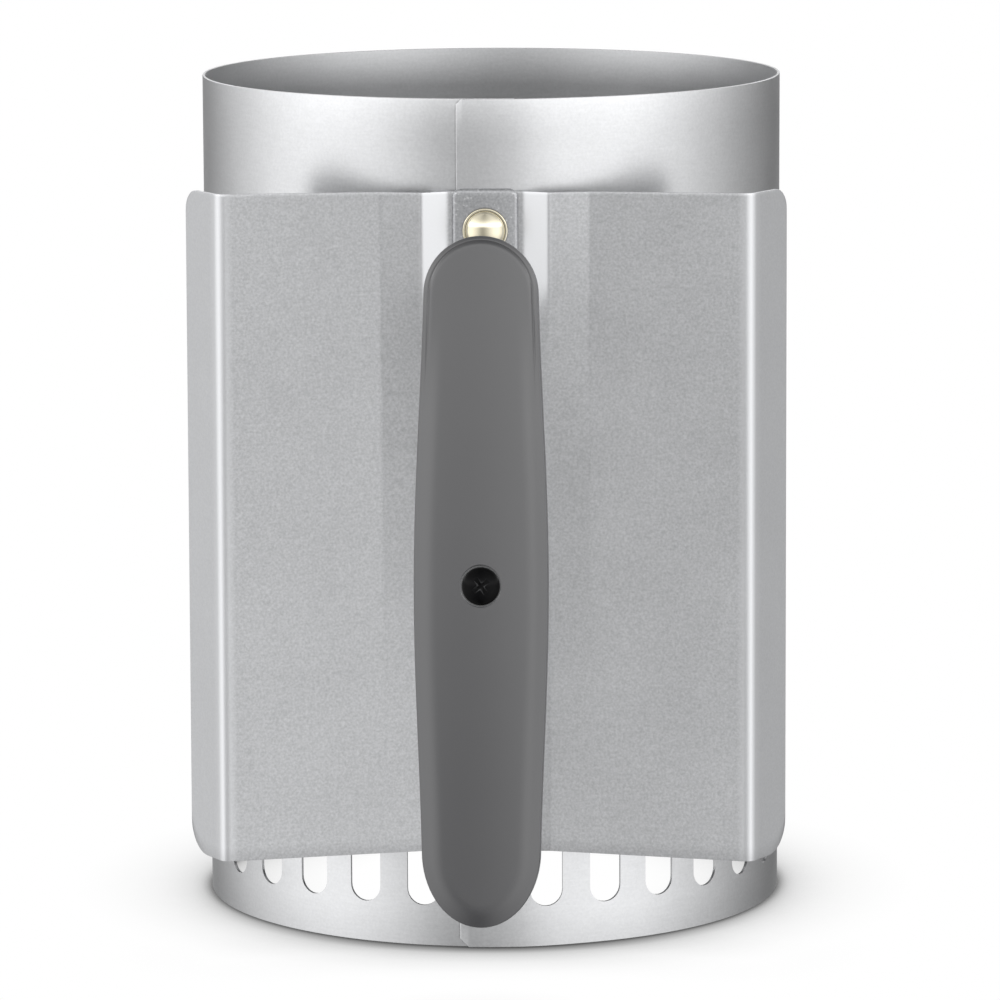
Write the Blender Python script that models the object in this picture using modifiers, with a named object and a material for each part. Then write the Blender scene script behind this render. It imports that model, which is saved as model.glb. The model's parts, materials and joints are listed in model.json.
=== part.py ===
"""Chimney charcoal starter.

A rolled steel drum with air slots round its foot, a bent heat shield, a D-shaped strap handle with a
two-part moulded grip, and a conical wire grate that lies loose between tabs lanced out of the drum.

Metres, +Z up. X = 0 is the plane of the handle, -Y is the handle's side, and Z = 0 is the ground.
"out" means the distance from the drum's axis towards the handle.
"""

import math

import bmesh
import bpy
from mathutils import Matrix, Vector

MM = 0.001
GAP = 0.3 * MM  # between two pieces that touch on the real object

# Drum: one sheet rolled round, its ends lapped at the front
DRUM_RADIUS = 82.5 * MM
DRUM_HEIGHT = 236.6 * MM
SHEET = 0.8 * MM
LAP_HALF_WIDTH = 7.9 * MM
LAP_GAP = 0.1 * MM
LAP_CORNER = 2 * MM
LAP_RISE_TURN = math.radians(16)  # over which the outer end of the sheet lifts over the inner one
DRUM_STEP = math.radians(3)

SLOT_COUNT = 30
SLOT_WIDTH = 9.2 * MM
SLOT_BOTTOM = 11.4 * MM
SLOT_TOP = 41.9 * MM
SLOT_TURN = math.radians(-0.8)  # how far the first slot lies round from the handle's plane

# Tabs lanced out of the drum: one under the grate's outer ring, the next over it, and so on round
TAB_COUNT = 8
TAB_WIDTH = 9 * MM
TAB_LENGTH = 8 * MM
WINDOW_MARGIN = 0.6 * MM
LOWER_TAB_TOP = 60.5 * MM
GRATE_TRAVEL = 6 * MM

# Heat shield
SHIELD_TOP = 211.5 * MM
SHIELD_BOTTOM = 27.8 * MM
SHIELD_OUT = DRUM_RADIUS + LAP_GAP + SHEET + GAP + SHEET  # its front face where it lies on the seam
POCKET_FLOOR = 10.2 * MM  # half-width of the flat floor
POCKET_MOUTH = 17.2 * MM  # half-width at the front of the sloping walls
POCKET_FOOT = 183 * MM  # where the pocket has run out
POCKET_RUNOUT = 9 * MM
RIDGE_START = 69 * MM
RIDGE_HEIGHT = 3.4 * MM  # at the top edge
PANEL_BEND = 28.5 * MM  # half-distance between the two bend lines beside the ridge
BEND_RISE_BOTTOM = 2.7 * MM
BEND_RISE_TOP = 1.1 * MM
CREASE = 72.6 * MM  # half-distance between the flange folds
CREASE_RISE_BOTTOM = 13.6 * MM
CREASE_RISE_TOP = 6.2 * MM
FLANGE_SIDE = 9.8 * MM
FLANGE_BACK = 15.7 * MM
CREASE_RADIUS = 2 * MM
FLANGE_CORNER_TOP = 6 * MM
FLANGE_CORNER_BOTTOM = 9 * MM

# Handle strap
STRAP_WIDTH = 18 * MM
STRAP_THICK = 2.3 * MM
STRAP_CORNER = 2.5 * MM
FOOT_OUT = SHIELD_OUT + GAP + STRAP_THICK / 2
UPPER_FOOT_TOP = 212.5 * MM
UPPER_ARM_ROOT = 190 * MM
LOWER_ARM_ROOT = 66.9 * MM
LOWER_FOOT_END = 43.4 * MM
FOOT_BEND = 5 * MM
SPINE_BEND = 7 * MM

# Rivets
RIVET_HEIGHTS = {"upper": 201.1 * MM, "lower": 52.8 * MM}
RIVET_SHANK = 2.4 * MM
RIVET_HOLE = 2.75 * MM
RIVET_HEAD = 5.35 * MM
RIVET_RING = 6.15 * MM
RIVET_RING_THICK = 0.5 * MM
RIVET_DOME = 3.4 * MM
RIVET_TAIL = 3.6 * MM
RIVET_TAIL_THICK = 1.8 * MM

# Grip, in its own frame: along it from its top end, across it, and off its parting plane
GRIP_TOP_OUT = 133.7 * MM
GRIP_TOP = 204.8 * MM
GRIP_SLOPE = math.radians(10.5)
GRIP_LENGTH = 181.9 * MM
GRIP_END_TOP = (15.2 * MM, 15.2 * MM)  # length and half-width of the rounded ends, seen from the front
GRIP_END_BOTTOM = (20 * MM, 15.7 * MM)
GRIP_HALF_WIDTH = 17.8 * MM
GRIP_WIDEST = 92.2 * MM
GRIP_DEPTH = 11 * MM
GRIP_EDGE = 9 * MM  # length over which the ends round off in depth
GRIP_ROUNDNESS = 2.7
SPINE_TOP = 23.5 * MM
SPINE_BOTTOM = 156 * MM
SPINE_CLEARANCE = 0.3 * MM

# Grip screw and nut
SCREW_ALONG = 92.2 * MM
SCREW_SHANK = 1.9 * MM
SCREW_HOLE = 2.4 * MM
SCREW_HEAD = 4.3 * MM
SCREW_HEAD_HEIGHT = 2.6 * MM
SCREW_CROSS = 4.6 * MM
SCREW_CROSS_WIDTH = 1 * MM
SCREW_CROSS_DEPTH = 1.5 * MM
COUNTERBORE = 5.2 * MM
COUNTERBORE_FLOOR = 4 * MM
NUT_RADIUS = 4 * MM  # to the corners
NUT_THICK = 3.2 * MM
NUT_SEAT = 5 * MM
NUT_POCKET = 4.4 * MM

# Grate
RING_WIRE = 2 * MM  # radius of the outer ring's wire
SPOKE_WIRE = 1.5 * MM
GRATE_SLOPE = math.radians(27)
OUTER_RING = 75.6 * MM
MIDDLE_RING = 45 * MM
TOP_RING = 14 * MM
SPOKE_COUNT = 16
SPOKE_OVERRUN = 1.8 * MM

# The origin is under the middle of the whole object, so the drum's axis lies behind it
GRIP_REACH = 176.5 * MM
DRUM_Y = (GRIP_REACH - DRUM_RADIUS) / 2

STEEL = {"colour": (0.62, 0.63, 0.645, 1), "roughness": 0.38, "metallic": 1.0}
STRAP_STEEL = {"colour": (0.5, 0.51, 0.525, 1), "roughness": 0.42, "metallic": 1.0}
BRASS = {"colour": (0.83, 0.75, 0.55, 1), "roughness": 0.15, "metallic": 1.0}
PLASTIC = {"colour": (0.115, 0.118, 0.12, 1), "roughness": 0.55, "metallic": 0.0}
BLACK_STEEL = {"colour": (0.015, 0.015, 0.016, 1), "roughness": 0.4, "metallic": 0.6}
ZINC = {"colour": (0.66, 0.67, 0.68, 1), "roughness": 0.35, "metallic": 1.0}
WIRE = {"colour": (0.55, 0.56, 0.57, 1), "roughness": 0.4, "metallic": 1.0}

for old in list(bpy.data.objects):
    bpy.data.objects.remove(old)

PARTS = bpy.data.collections.new("chimney_charcoal_starter")
CUTTERS = bpy.data.collections.new("cutters")
bpy.context.scene.collection.children.link(PARTS)
bpy.context.scene.collection.children.link(CUTTERS)


# ---------------------------------------------------------------- general helpers


def point(x, out, z):
    """The world position of a point given by its distance out from the drum's axis."""
    return Vector((x, DRUM_Y - out, z))


def material(name, finish):
    made = bpy.data.materials.new(name)
    made.use_nodes = True
    shader = made.node_tree.nodes["Principled BSDF"]
    shader.inputs["Base Color"].default_value = finish["colour"]
    shader.inputs["Roughness"].default_value = finish["roughness"]
    shader.inputs["Metallic"].default_value = finish["metallic"]
    return made


def part(name, mesh, finish, place=Matrix.Identity(4), sharp=30, parent=None):
    """Adds one piece of the object, shaded smooth except at edges over the given angle."""
    obj = bpy.data.objects.new(name, mesh)
    PARTS.objects.link(obj)
    obj.parent = parent
    obj.matrix_basis = place
    if not mesh.materials:
        mesh.materials.append(material(name, finish))
    mesh.shade_smooth()
    mesh.set_sharp_from_angle(angle=math.radians(sharp))
    return obj


def cutter(name, mesh, place=Matrix.Identity(4)):
    obj = bpy.data.objects.new(name, mesh)
    CUTTERS.objects.link(obj)
    obj.matrix_basis = place
    obj.hide_render = True
    obj.display_type = "WIRE"
    return obj


def boolean(obj, other, operation):
    modifier = obj.modifiers.new(operation.lower() + "_" + other.name, "BOOLEAN")
    modifier.operation = operation
    modifier.solver = "EXACT"
    modifier.object = other


def mesh_of(name, form):
    mesh = bpy.data.meshes.new(name)
    bmesh.ops.recalc_face_normals(form, faces=form.faces)
    form.to_mesh(mesh)
    form.free()
    return mesh


def mesh_from_curve(name, curve):
    """The curve's own shape as a mesh, with its caps welded on."""
    helper = bpy.data.objects.new(name, curve)
    CUTTERS.objects.link(helper)
    graph = bpy.context.evaluated_depsgraph_get()
    mesh = bpy.data.meshes.new_from_object(helper.evaluated_get(graph))
    bpy.data.objects.remove(helper)
    form = bmesh.new()
    form.from_mesh(mesh)
    bmesh.ops.remove_doubles(form, verts=form.verts, dist=1e-6)
    form.to_mesh(mesh)
    form.free()
    return mesh


def plate_mesh(name, outline, thickness):
    """A flat plate of this outline, its thickness centred on the XY plane."""
    curve = bpy.data.curves.new(name, "CURVE")
    curve.dimensions = "2D"
    curve.fill_mode = "BOTH"
    curve.extrude = thickness / 2
    spline = curve.splines.new("POLY")
    spline.points.add(len(outline) - 1)
    for spot, (across, along) in zip(spline.points, outline):
        spot.co = (across, along, 0, 1)
    spline.use_cyclic_u = True
    return mesh_from_curve(name, curve)


def arc(centre, radius, start, end, steps):
    """Points along an arc, from one angle to the other in radians."""
    turns = (start + (end - start) * i / steps for i in range(steps + 1))
    return [(centre[0] + radius * math.cos(a), centre[1] + radius * math.sin(a)) for a in turns]


def rod_mesh(name, radius, start, end, sides=24):
    """A cylinder along Z between two heights."""
    form = bmesh.new()
    bmesh.ops.create_cone(
        form,
        cap_ends=True,
        segments=sides,
        radius1=radius,
        radius2=radius,
        depth=end - start,
        matrix=Matrix.Translation((0, 0, (start + end) / 2)),
    )
    return mesh_of(name, form)


def turned(name, profile, finish, place, steps=24):
    """A turned piece: its profile runs from the axis, down the outer side, back to the axis."""
    form = bmesh.new()
    spots = [form.verts.new((radius, 0, height)) for radius, height in profile]
    for first, second in zip(spots, spots[1:]):
        form.edges.new((first, second))
    mesh = bpy.data.meshes.new(name)
    form.to_mesh(mesh)
    form.free()
    obj = part(name, mesh, finish, place)
    screw = obj.modifiers.new("turn", "SCREW")
    screw.steps = steps
    screw.render_steps = steps
    screw.use_merge_vertices = True
    screw.merge_threshold = 0.00001
    return obj


def facing_handle(out, z):
    """A frame whose Z axis points out from the drum towards the handle, at this place."""
    return Matrix.Translation(point(0, out, z)) @ Matrix.Rotation(math.pi / 2, 4, "X")


# ---------------------------------------------------------------- drum


def drum_point(turn, radius):
    """A point on the ground round the drum; turn 0 faces the handle and grows towards +X."""
    return Vector((radius * math.sin(turn), DRUM_Y - radius * math.cos(turn), 0))


def sheet_radius(turn_done):
    """Radius of the rolled sheet's outer face: its last stretch lifts over the first one."""
    rise = (turn_done - (math.tau - LAP_RISE_TURN)) / LAP_RISE_TURN
    rise = min(max(rise, 0), 1)
    return DRUM_RADIUS + (SHEET + LAP_GAP) * rise * rise * (3 - 2 * rise)


def drum_mesh():
    """The rolled sheet as an open surface, from its inner end at +X round to its outer end at -X."""
    lap = math.asin(LAP_HALF_WIDTH / DRUM_RADIUS)
    whole = math.tau + 2 * lap
    corner = LAP_CORNER / DRUM_RADIUS
    steps = round((whole - corner) / DRUM_STEP)
    turns = [(whole - corner) * i / steps for i in range(steps + 1)] + [whole]
    form = bmesh.new()
    columns = []
    for turn in turns:
        foot = drum_point(lap - turn, sheet_radius(turn))
        inset = LAP_CORNER if turn == whole else 0
        low = form.verts.new(foot + Vector((0, 0, inset)))
        high = form.verts.new(foot + Vector((0, 0, DRUM_HEIGHT - inset)))
        columns.append((low, high))
    for (low, high), (next_low, next_high) in zip(columns, columns[1:]):
        form.faces.new((next_low, low, high, next_high))
    mesh = bpy.data.meshes.new("drum_wall")
    form.to_mesh(mesh)
    form.free()
    return mesh


def radial_frame(turn, radius, z):
    """A frame on the drum: X across, Y up and Z pointing straight out of the drum."""
    outwards = Vector((math.sin(turn), -math.cos(turn), 0))
    across = Vector((math.cos(turn), math.sin(turn), 0))
    turned_frame = Matrix((across, Vector((0, 0, 1)), outwards)).transposed().to_4x4()
    return Matrix.Translation(drum_point(turn, radius) + Vector((0, 0, z))) @ turned_frame


def tab_turns(first):
    """The places of every other tab, starting with the given one."""
    return [math.tau * (i + 0.5) / TAB_COUNT for i in range(first, TAB_COUNT, 2)]


def upper_tab_bottom():
    return LOWER_TAB_TOP + 2 * RING_WIRE + GRATE_TRAVEL + 2 * GAP


def tab_rows():
    """(turns, height of the bend, +1 or -1 for the side of the bend that the window is on)."""
    return ((tab_turns(0), LOWER_TAB_TOP, 1), (tab_turns(1), upper_tab_bottom(), -1))


def slot_mesh():
    """One round-ended slot cutter, its length along Y."""
    half = SLOT_WIDTH / 2
    length = SLOT_TOP - SLOT_BOTTOM - SLOT_WIDTH
    outline = arc((0, length / 2), half, 0, math.pi, 8) + arc((0, -length / 2), half, math.pi, math.tau, 8)
    return plate_mesh("slot", outline, 6 * MM)


def drum_cutter():
    """All the drum's slots and tab windows as one cutter."""
    form = bmesh.new()
    slot = slot_mesh()
    for i in range(SLOT_COUNT):
        turn = SLOT_TURN + math.tau * i / SLOT_COUNT
        placed = slot.copy()
        placed.transform(radial_frame(turn, DRUM_RADIUS, (SLOT_BOTTOM + SLOT_TOP) / 2))
        form.from_mesh(placed)
    window = (TAB_WIDTH + 2 * WINDOW_MARGIN, TAB_LENGTH, 6 * MM, 1)
    for turns, bend, side in tab_rows():
        for turn in turns:
            frame = radial_frame(turn, DRUM_RADIUS, bend + side * TAB_LENGTH / 2)
            bmesh.ops.create_cube(form, size=1, matrix=frame @ Matrix.Diagonal(window))
    return cutter("drum_openings", mesh_of("drum_openings", form))


def drum_tabs():
    """The bent tabs, each rooted in the wall beside its window."""
    form = bmesh.new()
    root = DRUM_RADIUS - SHEET / 4
    for turns, bend, side in tab_rows():
        for turn in turns:
            middle = radial_frame(turn, root - (TAB_LENGTH + SHEET) / 2, bend - side * SHEET / 2)
            size = (TAB_WIDTH, SHEET, TAB_LENGTH + SHEET, 1)
            bmesh.ops.create_cube(form, size=1, matrix=middle @ Matrix.Diagonal(size))
    return cutter("drum_tabs", mesh_of("drum_tabs", form))


def build_drum(rivet_holes):
    drum = part("drum_wall", drum_mesh(), STEEL, sharp=40)
    solidify = drum.modifiers.new("sheet", "SOLIDIFY")
    solidify.thickness = SHEET
    solidify.offset = -1
    boolean(drum, drum_cutter(), "DIFFERENCE")
    boolean(drum, drum_tabs(), "UNION")
    boolean(drum, rivet_holes, "DIFFERENCE")


# ---------------------------------------------------------------- heat shield


def smooth(value, start, end):
    """0 before start, 1 after end, with a soft change between."""
    ratio = min(max((value - start) / (end - start), 0), 1)
    return ratio * ratio * (3 - 2 * ratio)


def shield_out(across, z):
    """How far out the shield's front face is, at a half-distance across up to the crease."""
    height = (z - SHIELD_BOTTOM) / (SHIELD_TOP - SHIELD_BOTTOM)
    ridge = RIDGE_HEIGHT * (max(z - RIDGE_START, 0) / (SHIELD_TOP - RIDGE_START)) ** 1.3
    bend = BEND_RISE_BOTTOM + (BEND_RISE_TOP - BEND_RISE_BOTTOM) * height
    crease = CREASE_RISE_BOTTOM + (CREASE_RISE_TOP - CREASE_RISE_BOTTOM) * height
    if across > PANEL_BEND:
        return SHIELD_OUT + bend + (crease - bend) * (across - PANEL_BEND) / (CREASE - PANEL_BEND)
    if across > POCKET_MOUTH:
        return SHIELD_OUT + ridge + (bend - ridge) * (across - POCKET_MOUTH) / (PANEL_BEND - POCKET_MOUTH)
    wall = min(max((across - POCKET_FLOOR) / (POCKET_MOUTH - POCKET_FLOOR), 0), 1)
    pocket = (1 - wall) * smooth(z, POCKET_FOOT, POCKET_FOOT + POCKET_RUNOUT)
    return SHIELD_OUT + ridge * (1 - pocket)


def flange_drop(from_edge, radius):
    """How much a rounded corner lowers the flange's end, this far in from its free edge."""
    inside = max(radius - from_edge, 0)
    return radius - math.sqrt(max(radius * radius - inside * inside, 0))


def shield_half_columns():
    """Stations across one half, from the middle out: (across, how far back, distance to free edge)."""
    flat = [0, POCKET_FLOOR * 0.5, POCKET_FLOOR, POCKET_FLOOR + 1.7 * MM, POCKET_MOUTH - 1.7 * MM]
    flat += [POCKET_MOUTH, POCKET_MOUTH + 4 * MM, PANEL_BEND, PANEL_BEND + 14 * MM, PANEL_BEND + 28 * MM]
    columns = [(across, 0, 1) for across in flat]
    fold = math.atan2(FLANGE_BACK, FLANGE_SIDE)
    centre = CREASE - CREASE_RADIUS * math.tan(fold / 2)
    for i in range(5):
        turn = fold * i / 4
        across = centre + CREASE_RADIUS * math.sin(turn)
        columns.append((across, CREASE_RADIUS * (1 - math.cos(turn)), 1))
    start_across, start_back, _ = columns[-1]
    length = math.hypot(CREASE + FLANGE_SIDE - start_across, FLANGE_BACK - start_back)
    corner = FLANGE_CORNER_BOTTOM
    spots = [length - corner] + [length - corner * (1 - math.sin(math.pi / 2 * i / 5)) for i in range(1, 6)]
    for along in spots:
        share = along / length
        across = start_across + (CREASE + FLANGE_SIDE - start_across) * share
        back = start_back + (FLANGE_BACK - start_back) * share
        columns.append((across, back, length - along))
    return columns


def shield_rows():
    """Heights as shares of the shield's height, closer together where the pocket runs out."""
    heights = [SHIELD_BOTTOM, RIDGE_START, 103 * MM, 144 * MM, 170 * MM]
    heights += [POCKET_FOOT + POCKET_RUNOUT * i / 5 for i in range(6)]
    heights += [203 * MM, SHIELD_TOP]
    return [(z - SHIELD_BOTTOM) / (SHIELD_TOP - SHIELD_BOTTOM) for z in heights]


def shield_mesh():
    """The shield's front face as an open surface, between its unlike top and bottom sections."""
    half = shield_half_columns()
    columns = [(-1, c) for c in reversed(half[1:])] + [(1, c) for c in half]
    form = bmesh.new()
    grid = []
    for side, (across, back, from_edge) in columns:
        low = SHIELD_BOTTOM + flange_drop(from_edge, FLANGE_CORNER_BOTTOM)
        high = SHIELD_TOP - flange_drop(from_edge, FLANGE_CORNER_TOP)
        heights = [low + (high - low) * share for share in shield_rows()]
        spots = [(side * across, shield_out(min(across, CREASE), z) - back, z) for z in heights]
        grid.append([form.verts.new(point(*spot)) for spot in spots])
    for left, right in zip(grid, grid[1:]):
        for row in range(len(left) - 1):
            form.faces.new((left[row], right[row], right[row + 1], left[row + 1]))
    mesh = bpy.data.meshes.new("heat_shield")
    form.to_mesh(mesh)
    form.free()
    return mesh


def build_shield(rivet_holes):
    shield = part("heat_shield", shield_mesh(), STEEL, sharp=60)
    solidify = shield.modifiers.new("sheet", "SOLIDIFY")
    solidify.thickness = SHEET
    solidify.offset = -1
    solidify.use_even_offset = True
    boolean(shield, rivet_holes, "DIFFERENCE")


# ---------------------------------------------------------------- handle strap


def grip_spot(along, off):
    """(out, z) of a point in the handle's plane, along the grip and off its parting plane."""
    out = GRIP_TOP_OUT + along * math.sin(GRIP_SLOPE) + off * math.cos(GRIP_SLOPE)
    z = GRIP_TOP - along * math.cos(GRIP_SLOPE) + off * math.sin(GRIP_SLOPE)
    return Vector((out, z))


def rounded_path(corners, radii, steps=6):
    """A path through the corners, each inner one rounded to its radius."""
    path = [corners[0]]
    for before, corner, after, radius in zip(corners, corners[1:], corners[2:], radii):
        back = (before - corner).normalized()
        ahead = (after - corner).normalized()
        half = back.angle(ahead) / 2
        turn = math.pi - 2 * half
        centre = corner + (back + ahead).normalized() * (radius / math.sin(half))
        first = corner + back * (radius / math.tan(half)) - centre
        last = corner + ahead * (radius / math.tan(half)) - centre
        for i in range(steps + 1):
            done = turn * i / steps
            path.append(centre + (first * math.sin(turn - done) + last * math.sin(done)) / math.sin(turn))
    return path + [corners[-1]]


def ribbon_outline(path, thickness):
    """The closed outline of a strip of this thickness along the path."""
    one, other = [], []
    for i, spot in enumerate(path):
        before = path[max(i - 1, 0)]
        after = path[min(i + 1, len(path) - 1)]
        side = (after - before).normalized().orthogonal() * (thickness / 2)
        one.append(spot + side)
        other.append(spot - side)
    return one + other[::-1]


def strap_path():
    corners = [
        Vector((FOOT_OUT, UPPER_FOOT_TOP)),
        Vector((FOOT_OUT, UPPER_ARM_ROOT)),
        grip_spot(SPINE_TOP, 0),
        grip_spot(SPINE_BOTTOM, 0),
        Vector((FOOT_OUT, LOWER_ARM_ROOT)),
        Vector((FOOT_OUT, LOWER_FOOT_END)),
    ]
    return rounded_path(corners, (FOOT_BEND, SPINE_BEND, SPINE_BEND, FOOT_BEND))


def side_frame():
    """Turns a plate drawn in (out, z) upright into the handle's plane."""
    turn = Matrix(((0, 0, -1), (-1, 0, 0), (0, 1, 0))).to_4x4()
    return Matrix.Translation((0, DRUM_Y, 0)) @ turn


def strap_mesh(name, width, thickness):
    return plate_mesh(name, ribbon_outline(strap_path(), thickness), width)


def round_strap_ends(mesh):
    """Rounds the corners of both feet, seen from the front."""
    form = bmesh.new()
    form.from_mesh(mesh)
    ends = (UPPER_FOOT_TOP, LOWER_FOOT_END)
    corners = []
    for edge in form.edges:
        first, second = (v.co for v in edge.verts)
        on_end = any(abs(first.y - z) < GAP and abs(second.y - z) < GAP for z in ends)
        if on_end and abs(first.z - second.z) < GAP and abs(first.x - second.x) > GAP:
            corners.append(edge)
    bmesh.ops.bevel(form, geom=corners, offset=STRAP_CORNER, segments=4, profile=0.5, affect="EDGES")
    form.to_mesh(mesh)
    form.free()


def build_strap(rivet_holes, screw_hole):
    mesh = strap_mesh("handle_strap", STRAP_WIDTH, STRAP_THICK)
    round_strap_ends(mesh)
    strap = part("handle_strap", mesh, STRAP_STEEL, side_frame(), sharp=25)
    boolean(strap, rivet_holes, "DIFFERENCE")
    boolean(strap, screw_hole, "DIFFERENCE")


# ---------------------------------------------------------------- rivets


def rivet_profile():
    """From the top of the dome to the end of the tail; height 0 is the head's underside."""
    clear = GAP + STRAP_THICK + GAP + SHEET + GAP + SHEET + LAP_GAP + SHEET + GAP
    dome = [
        (RIVET_HEAD * math.sin(a), RIVET_RING_THICK + RIVET_DOME * math.cos(a))
        for a in (math.pi / 2 * i / 7 for i in range(8))
    ]
    ring = [(RIVET_RING, RIVET_RING_THICK), (RIVET_RING, 0), (RIVET_SHANK, 0), (RIVET_SHANK, -clear)]
    lip = RIVET_TAIL_THICK / 3
    tail = [
        (RIVET_TAIL, -clear),
        (RIVET_TAIL, -clear - RIVET_TAIL_THICK + lip),
        (RIVET_TAIL - lip, -clear - RIVET_TAIL_THICK),
        (0, -clear - RIVET_TAIL_THICK),
    ]
    return dome + ring + tail


def build_rivets():
    under_head = FOOT_OUT + STRAP_THICK / 2 + GAP
    for place, z in RIVET_HEIGHTS.items():
        turned("handle_rivet_" + place, rivet_profile(), BRASS, facing_handle(under_head, z))


def rivet_hole_cutter():
    form = bmesh.new()
    for z in RIVET_HEIGHTS.values():
        hole = rod_mesh("hole", RIVET_HOLE, -10 * MM, 10 * MM)
        hole.transform(facing_handle(FOOT_OUT, z))
        form.from_mesh(hole)
    return cutter("rivet_holes", mesh_of("rivet_holes", form))


# ---------------------------------------------------------------- grip


def grip_frame(along, off=0):
    """A frame in the grip: X across, Y up along it, and Z off its parting plane towards the front."""
    out, z = grip_spot(along, off)
    return Matrix.Translation(point(0, out, z)) @ Matrix.Rotation(math.pi / 2 - GRIP_SLOPE, 4, "X")


def grip_half_width(along):
    """Half the grip's width, with a round end at the top and at the bottom."""
    if along < GRIP_WIDEST:
        from_end, end, run = along, GRIP_END_TOP, GRIP_WIDEST
    else:
        from_end, end, run = GRIP_LENGTH - along, GRIP_END_BOTTOM, GRIP_LENGTH - GRIP_WIDEST
    length, width = end
    if from_end < length:
        return width * math.sqrt(from_end * (2 * length - from_end)) / length
    share = (from_end - length) / (run - length)
    swell = (math.sin(math.pi / 2 * share) + (1 - math.cos(math.pi * share)) / 2) / 2
    return width + (GRIP_HALF_WIDTH - width) * swell


def grip_depth(along):
    """How far the grip stands off its parting plane along its middle."""
    from_end = min(along, GRIP_LENGTH - along)
    inside = 1 - min(from_end / GRIP_EDGE, 1)
    return GRIP_DEPTH * (1 - inside**GRIP_ROUNDNESS) ** (1 / GRIP_ROUNDNESS)


def grip_stations():
    """Places along the grip, close together at its round ends."""
    end_steps, middle_steps = 9, 8
    shares = [1 - math.cos(math.pi / 2 * i / end_steps) for i in range(end_steps)]
    top, bottom = GRIP_END_TOP[0], GRIP_END_BOTTOM[0]
    tip = 0.1 * MM
    middle_length = GRIP_LENGTH - top - bottom
    middle = [top + middle_length * i / middle_steps for i in range(middle_steps + 1)]
    first = [max(top * share, tip) for share in shares]
    last = [GRIP_LENGTH - max(bottom * share, tip) for share in reversed(shares)]
    return first + middle + last


def grip_section(along, side):
    """One half's outline across the grip: a soft oblong arch that stands on the parting plane."""
    steps = 14
    width, depth = grip_half_width(along), grip_depth(along)
    arch = []
    for i in range(steps + 1):
        turn = math.pi * i / steps
        across = width * math.copysign(abs(math.cos(turn)) ** (2 / GRIP_ROUNDNESS), math.cos(turn))
        arch.append((across, side * (GAP / 2 + depth * math.sin(turn) ** (2 / GRIP_ROUNDNESS))))
    return arch


def grip_mesh(name, side):
    """One half of the grip, lofted between its sections from the top end to the bottom end."""
    form = bmesh.new()
    rings = []
    for along in grip_stations():
        frame = grip_frame(along)
        section = grip_section(along, side)
        rings.append([form.verts.new(frame @ Vector((across, 0, off))) for across, off in section])
    for ring, following in zip(rings, rings[1:]):
        for i in range(len(ring)):
            j = (i + 1) % len(ring)
            form.faces.new((ring[i], ring[j], following[j], following[i]))
    form.faces.new(rings[0])
    form.faces.new(rings[-1])
    return mesh_of(name, form)


def build_grip(screw_hole):
    strap_space = cutter(
        "strap_space",
        strap_mesh("strap_space", STRAP_WIDTH + 2 * SPINE_CLEARANCE, STRAP_THICK + 2 * SPINE_CLEARANCE),
        side_frame(),
    )
    counterbore = cutter(
        "counterbore",
        rod_mesh("counterbore", COUNTERBORE, COUNTERBORE_FLOOR, 2 * GRIP_DEPTH, 32),
        grip_frame(SCREW_ALONG),
    )
    nut_pocket = cutter(
        "nut_pocket",
        rod_mesh("nut_pocket", NUT_POCKET, -2 * GRIP_DEPTH, -NUT_SEAT, 6),
        grip_frame(SCREW_ALONG),
    )
    for name, side, pocket in (("grip_front", 1, counterbore), ("grip_back", -1, nut_pocket)):
        half = part(name, grip_mesh(name, side), PLASTIC, sharp=50)
        for space in (strap_space, screw_hole, pocket):
            boolean(half, space, "DIFFERENCE")


def build_screw():
    """The grip's screw, from the parting plane's frame: the head sits on the counterbore's floor."""
    seat = COUNTERBORE_FLOOR + GAP
    end = -NUT_SEAT - NUT_THICK - 2 * GAP
    crown = [
        (SCREW_HEAD * math.sin(a), seat + 1 * MM + (SCREW_HEAD_HEIGHT - 1 * MM) * math.cos(a))
        for a in (math.pi / 2 * i / 5 for i in range(6))
    ]
    profile = crown + [(SCREW_HEAD, seat), (SCREW_SHANK, seat), (SCREW_SHANK, end), (0, end)]
    screw = turned("grip_screw", profile, BLACK_STEEL, grip_frame(SCREW_ALONG), steps=20)
    form = bmesh.new()
    top = seat + SCREW_HEAD_HEIGHT
    size = (SCREW_CROSS, SCREW_CROSS_WIDTH, 2 * SCREW_CROSS_DEPTH, 1)
    bmesh.ops.create_cube(form, size=1, matrix=Matrix.Translation((0, 0, top)) @ Matrix.Diagonal(size))
    bar = mesh_of("cross_bar", form)
    for i in range(2):
        place = grip_frame(SCREW_ALONG) @ Matrix.Rotation(math.radians(35 + 90 * i), 4, "Z")
        boolean(screw, cutter(f"screw_cross_{i + 1}", bar, place), "DIFFERENCE")


def build_nut(screw_hole):
    low = -NUT_SEAT - GAP - NUT_THICK
    mesh = rod_mesh("grip_nut", NUT_RADIUS, low, low + NUT_THICK, 6)
    nut = part("grip_nut", mesh, ZINC, grip_frame(SCREW_ALONG))
    boolean(nut, screw_hole, "DIFFERENCE")


# ---------------------------------------------------------------- grate


def spoke_height(radius):
    """Height of the spokes' centre line over the outer ring's resting height, at this radius."""
    on_outer_ring = RING_WIRE + (RING_WIRE + SPOKE_WIRE + GAP) / math.cos(GRATE_SLOPE)
    return on_outer_ring + (OUTER_RING - radius) * math.tan(GRATE_SLOPE)


def grate_anchor():
    """An empty on the axis that the grate slides along, where its outer ring rests."""
    anchor = bpy.data.objects.new("grate_slide", None)
    anchor.location = (0, DRUM_Y, LOWER_TAB_TOP + GAP)
    PARTS.objects.link(anchor)
    return anchor


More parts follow.
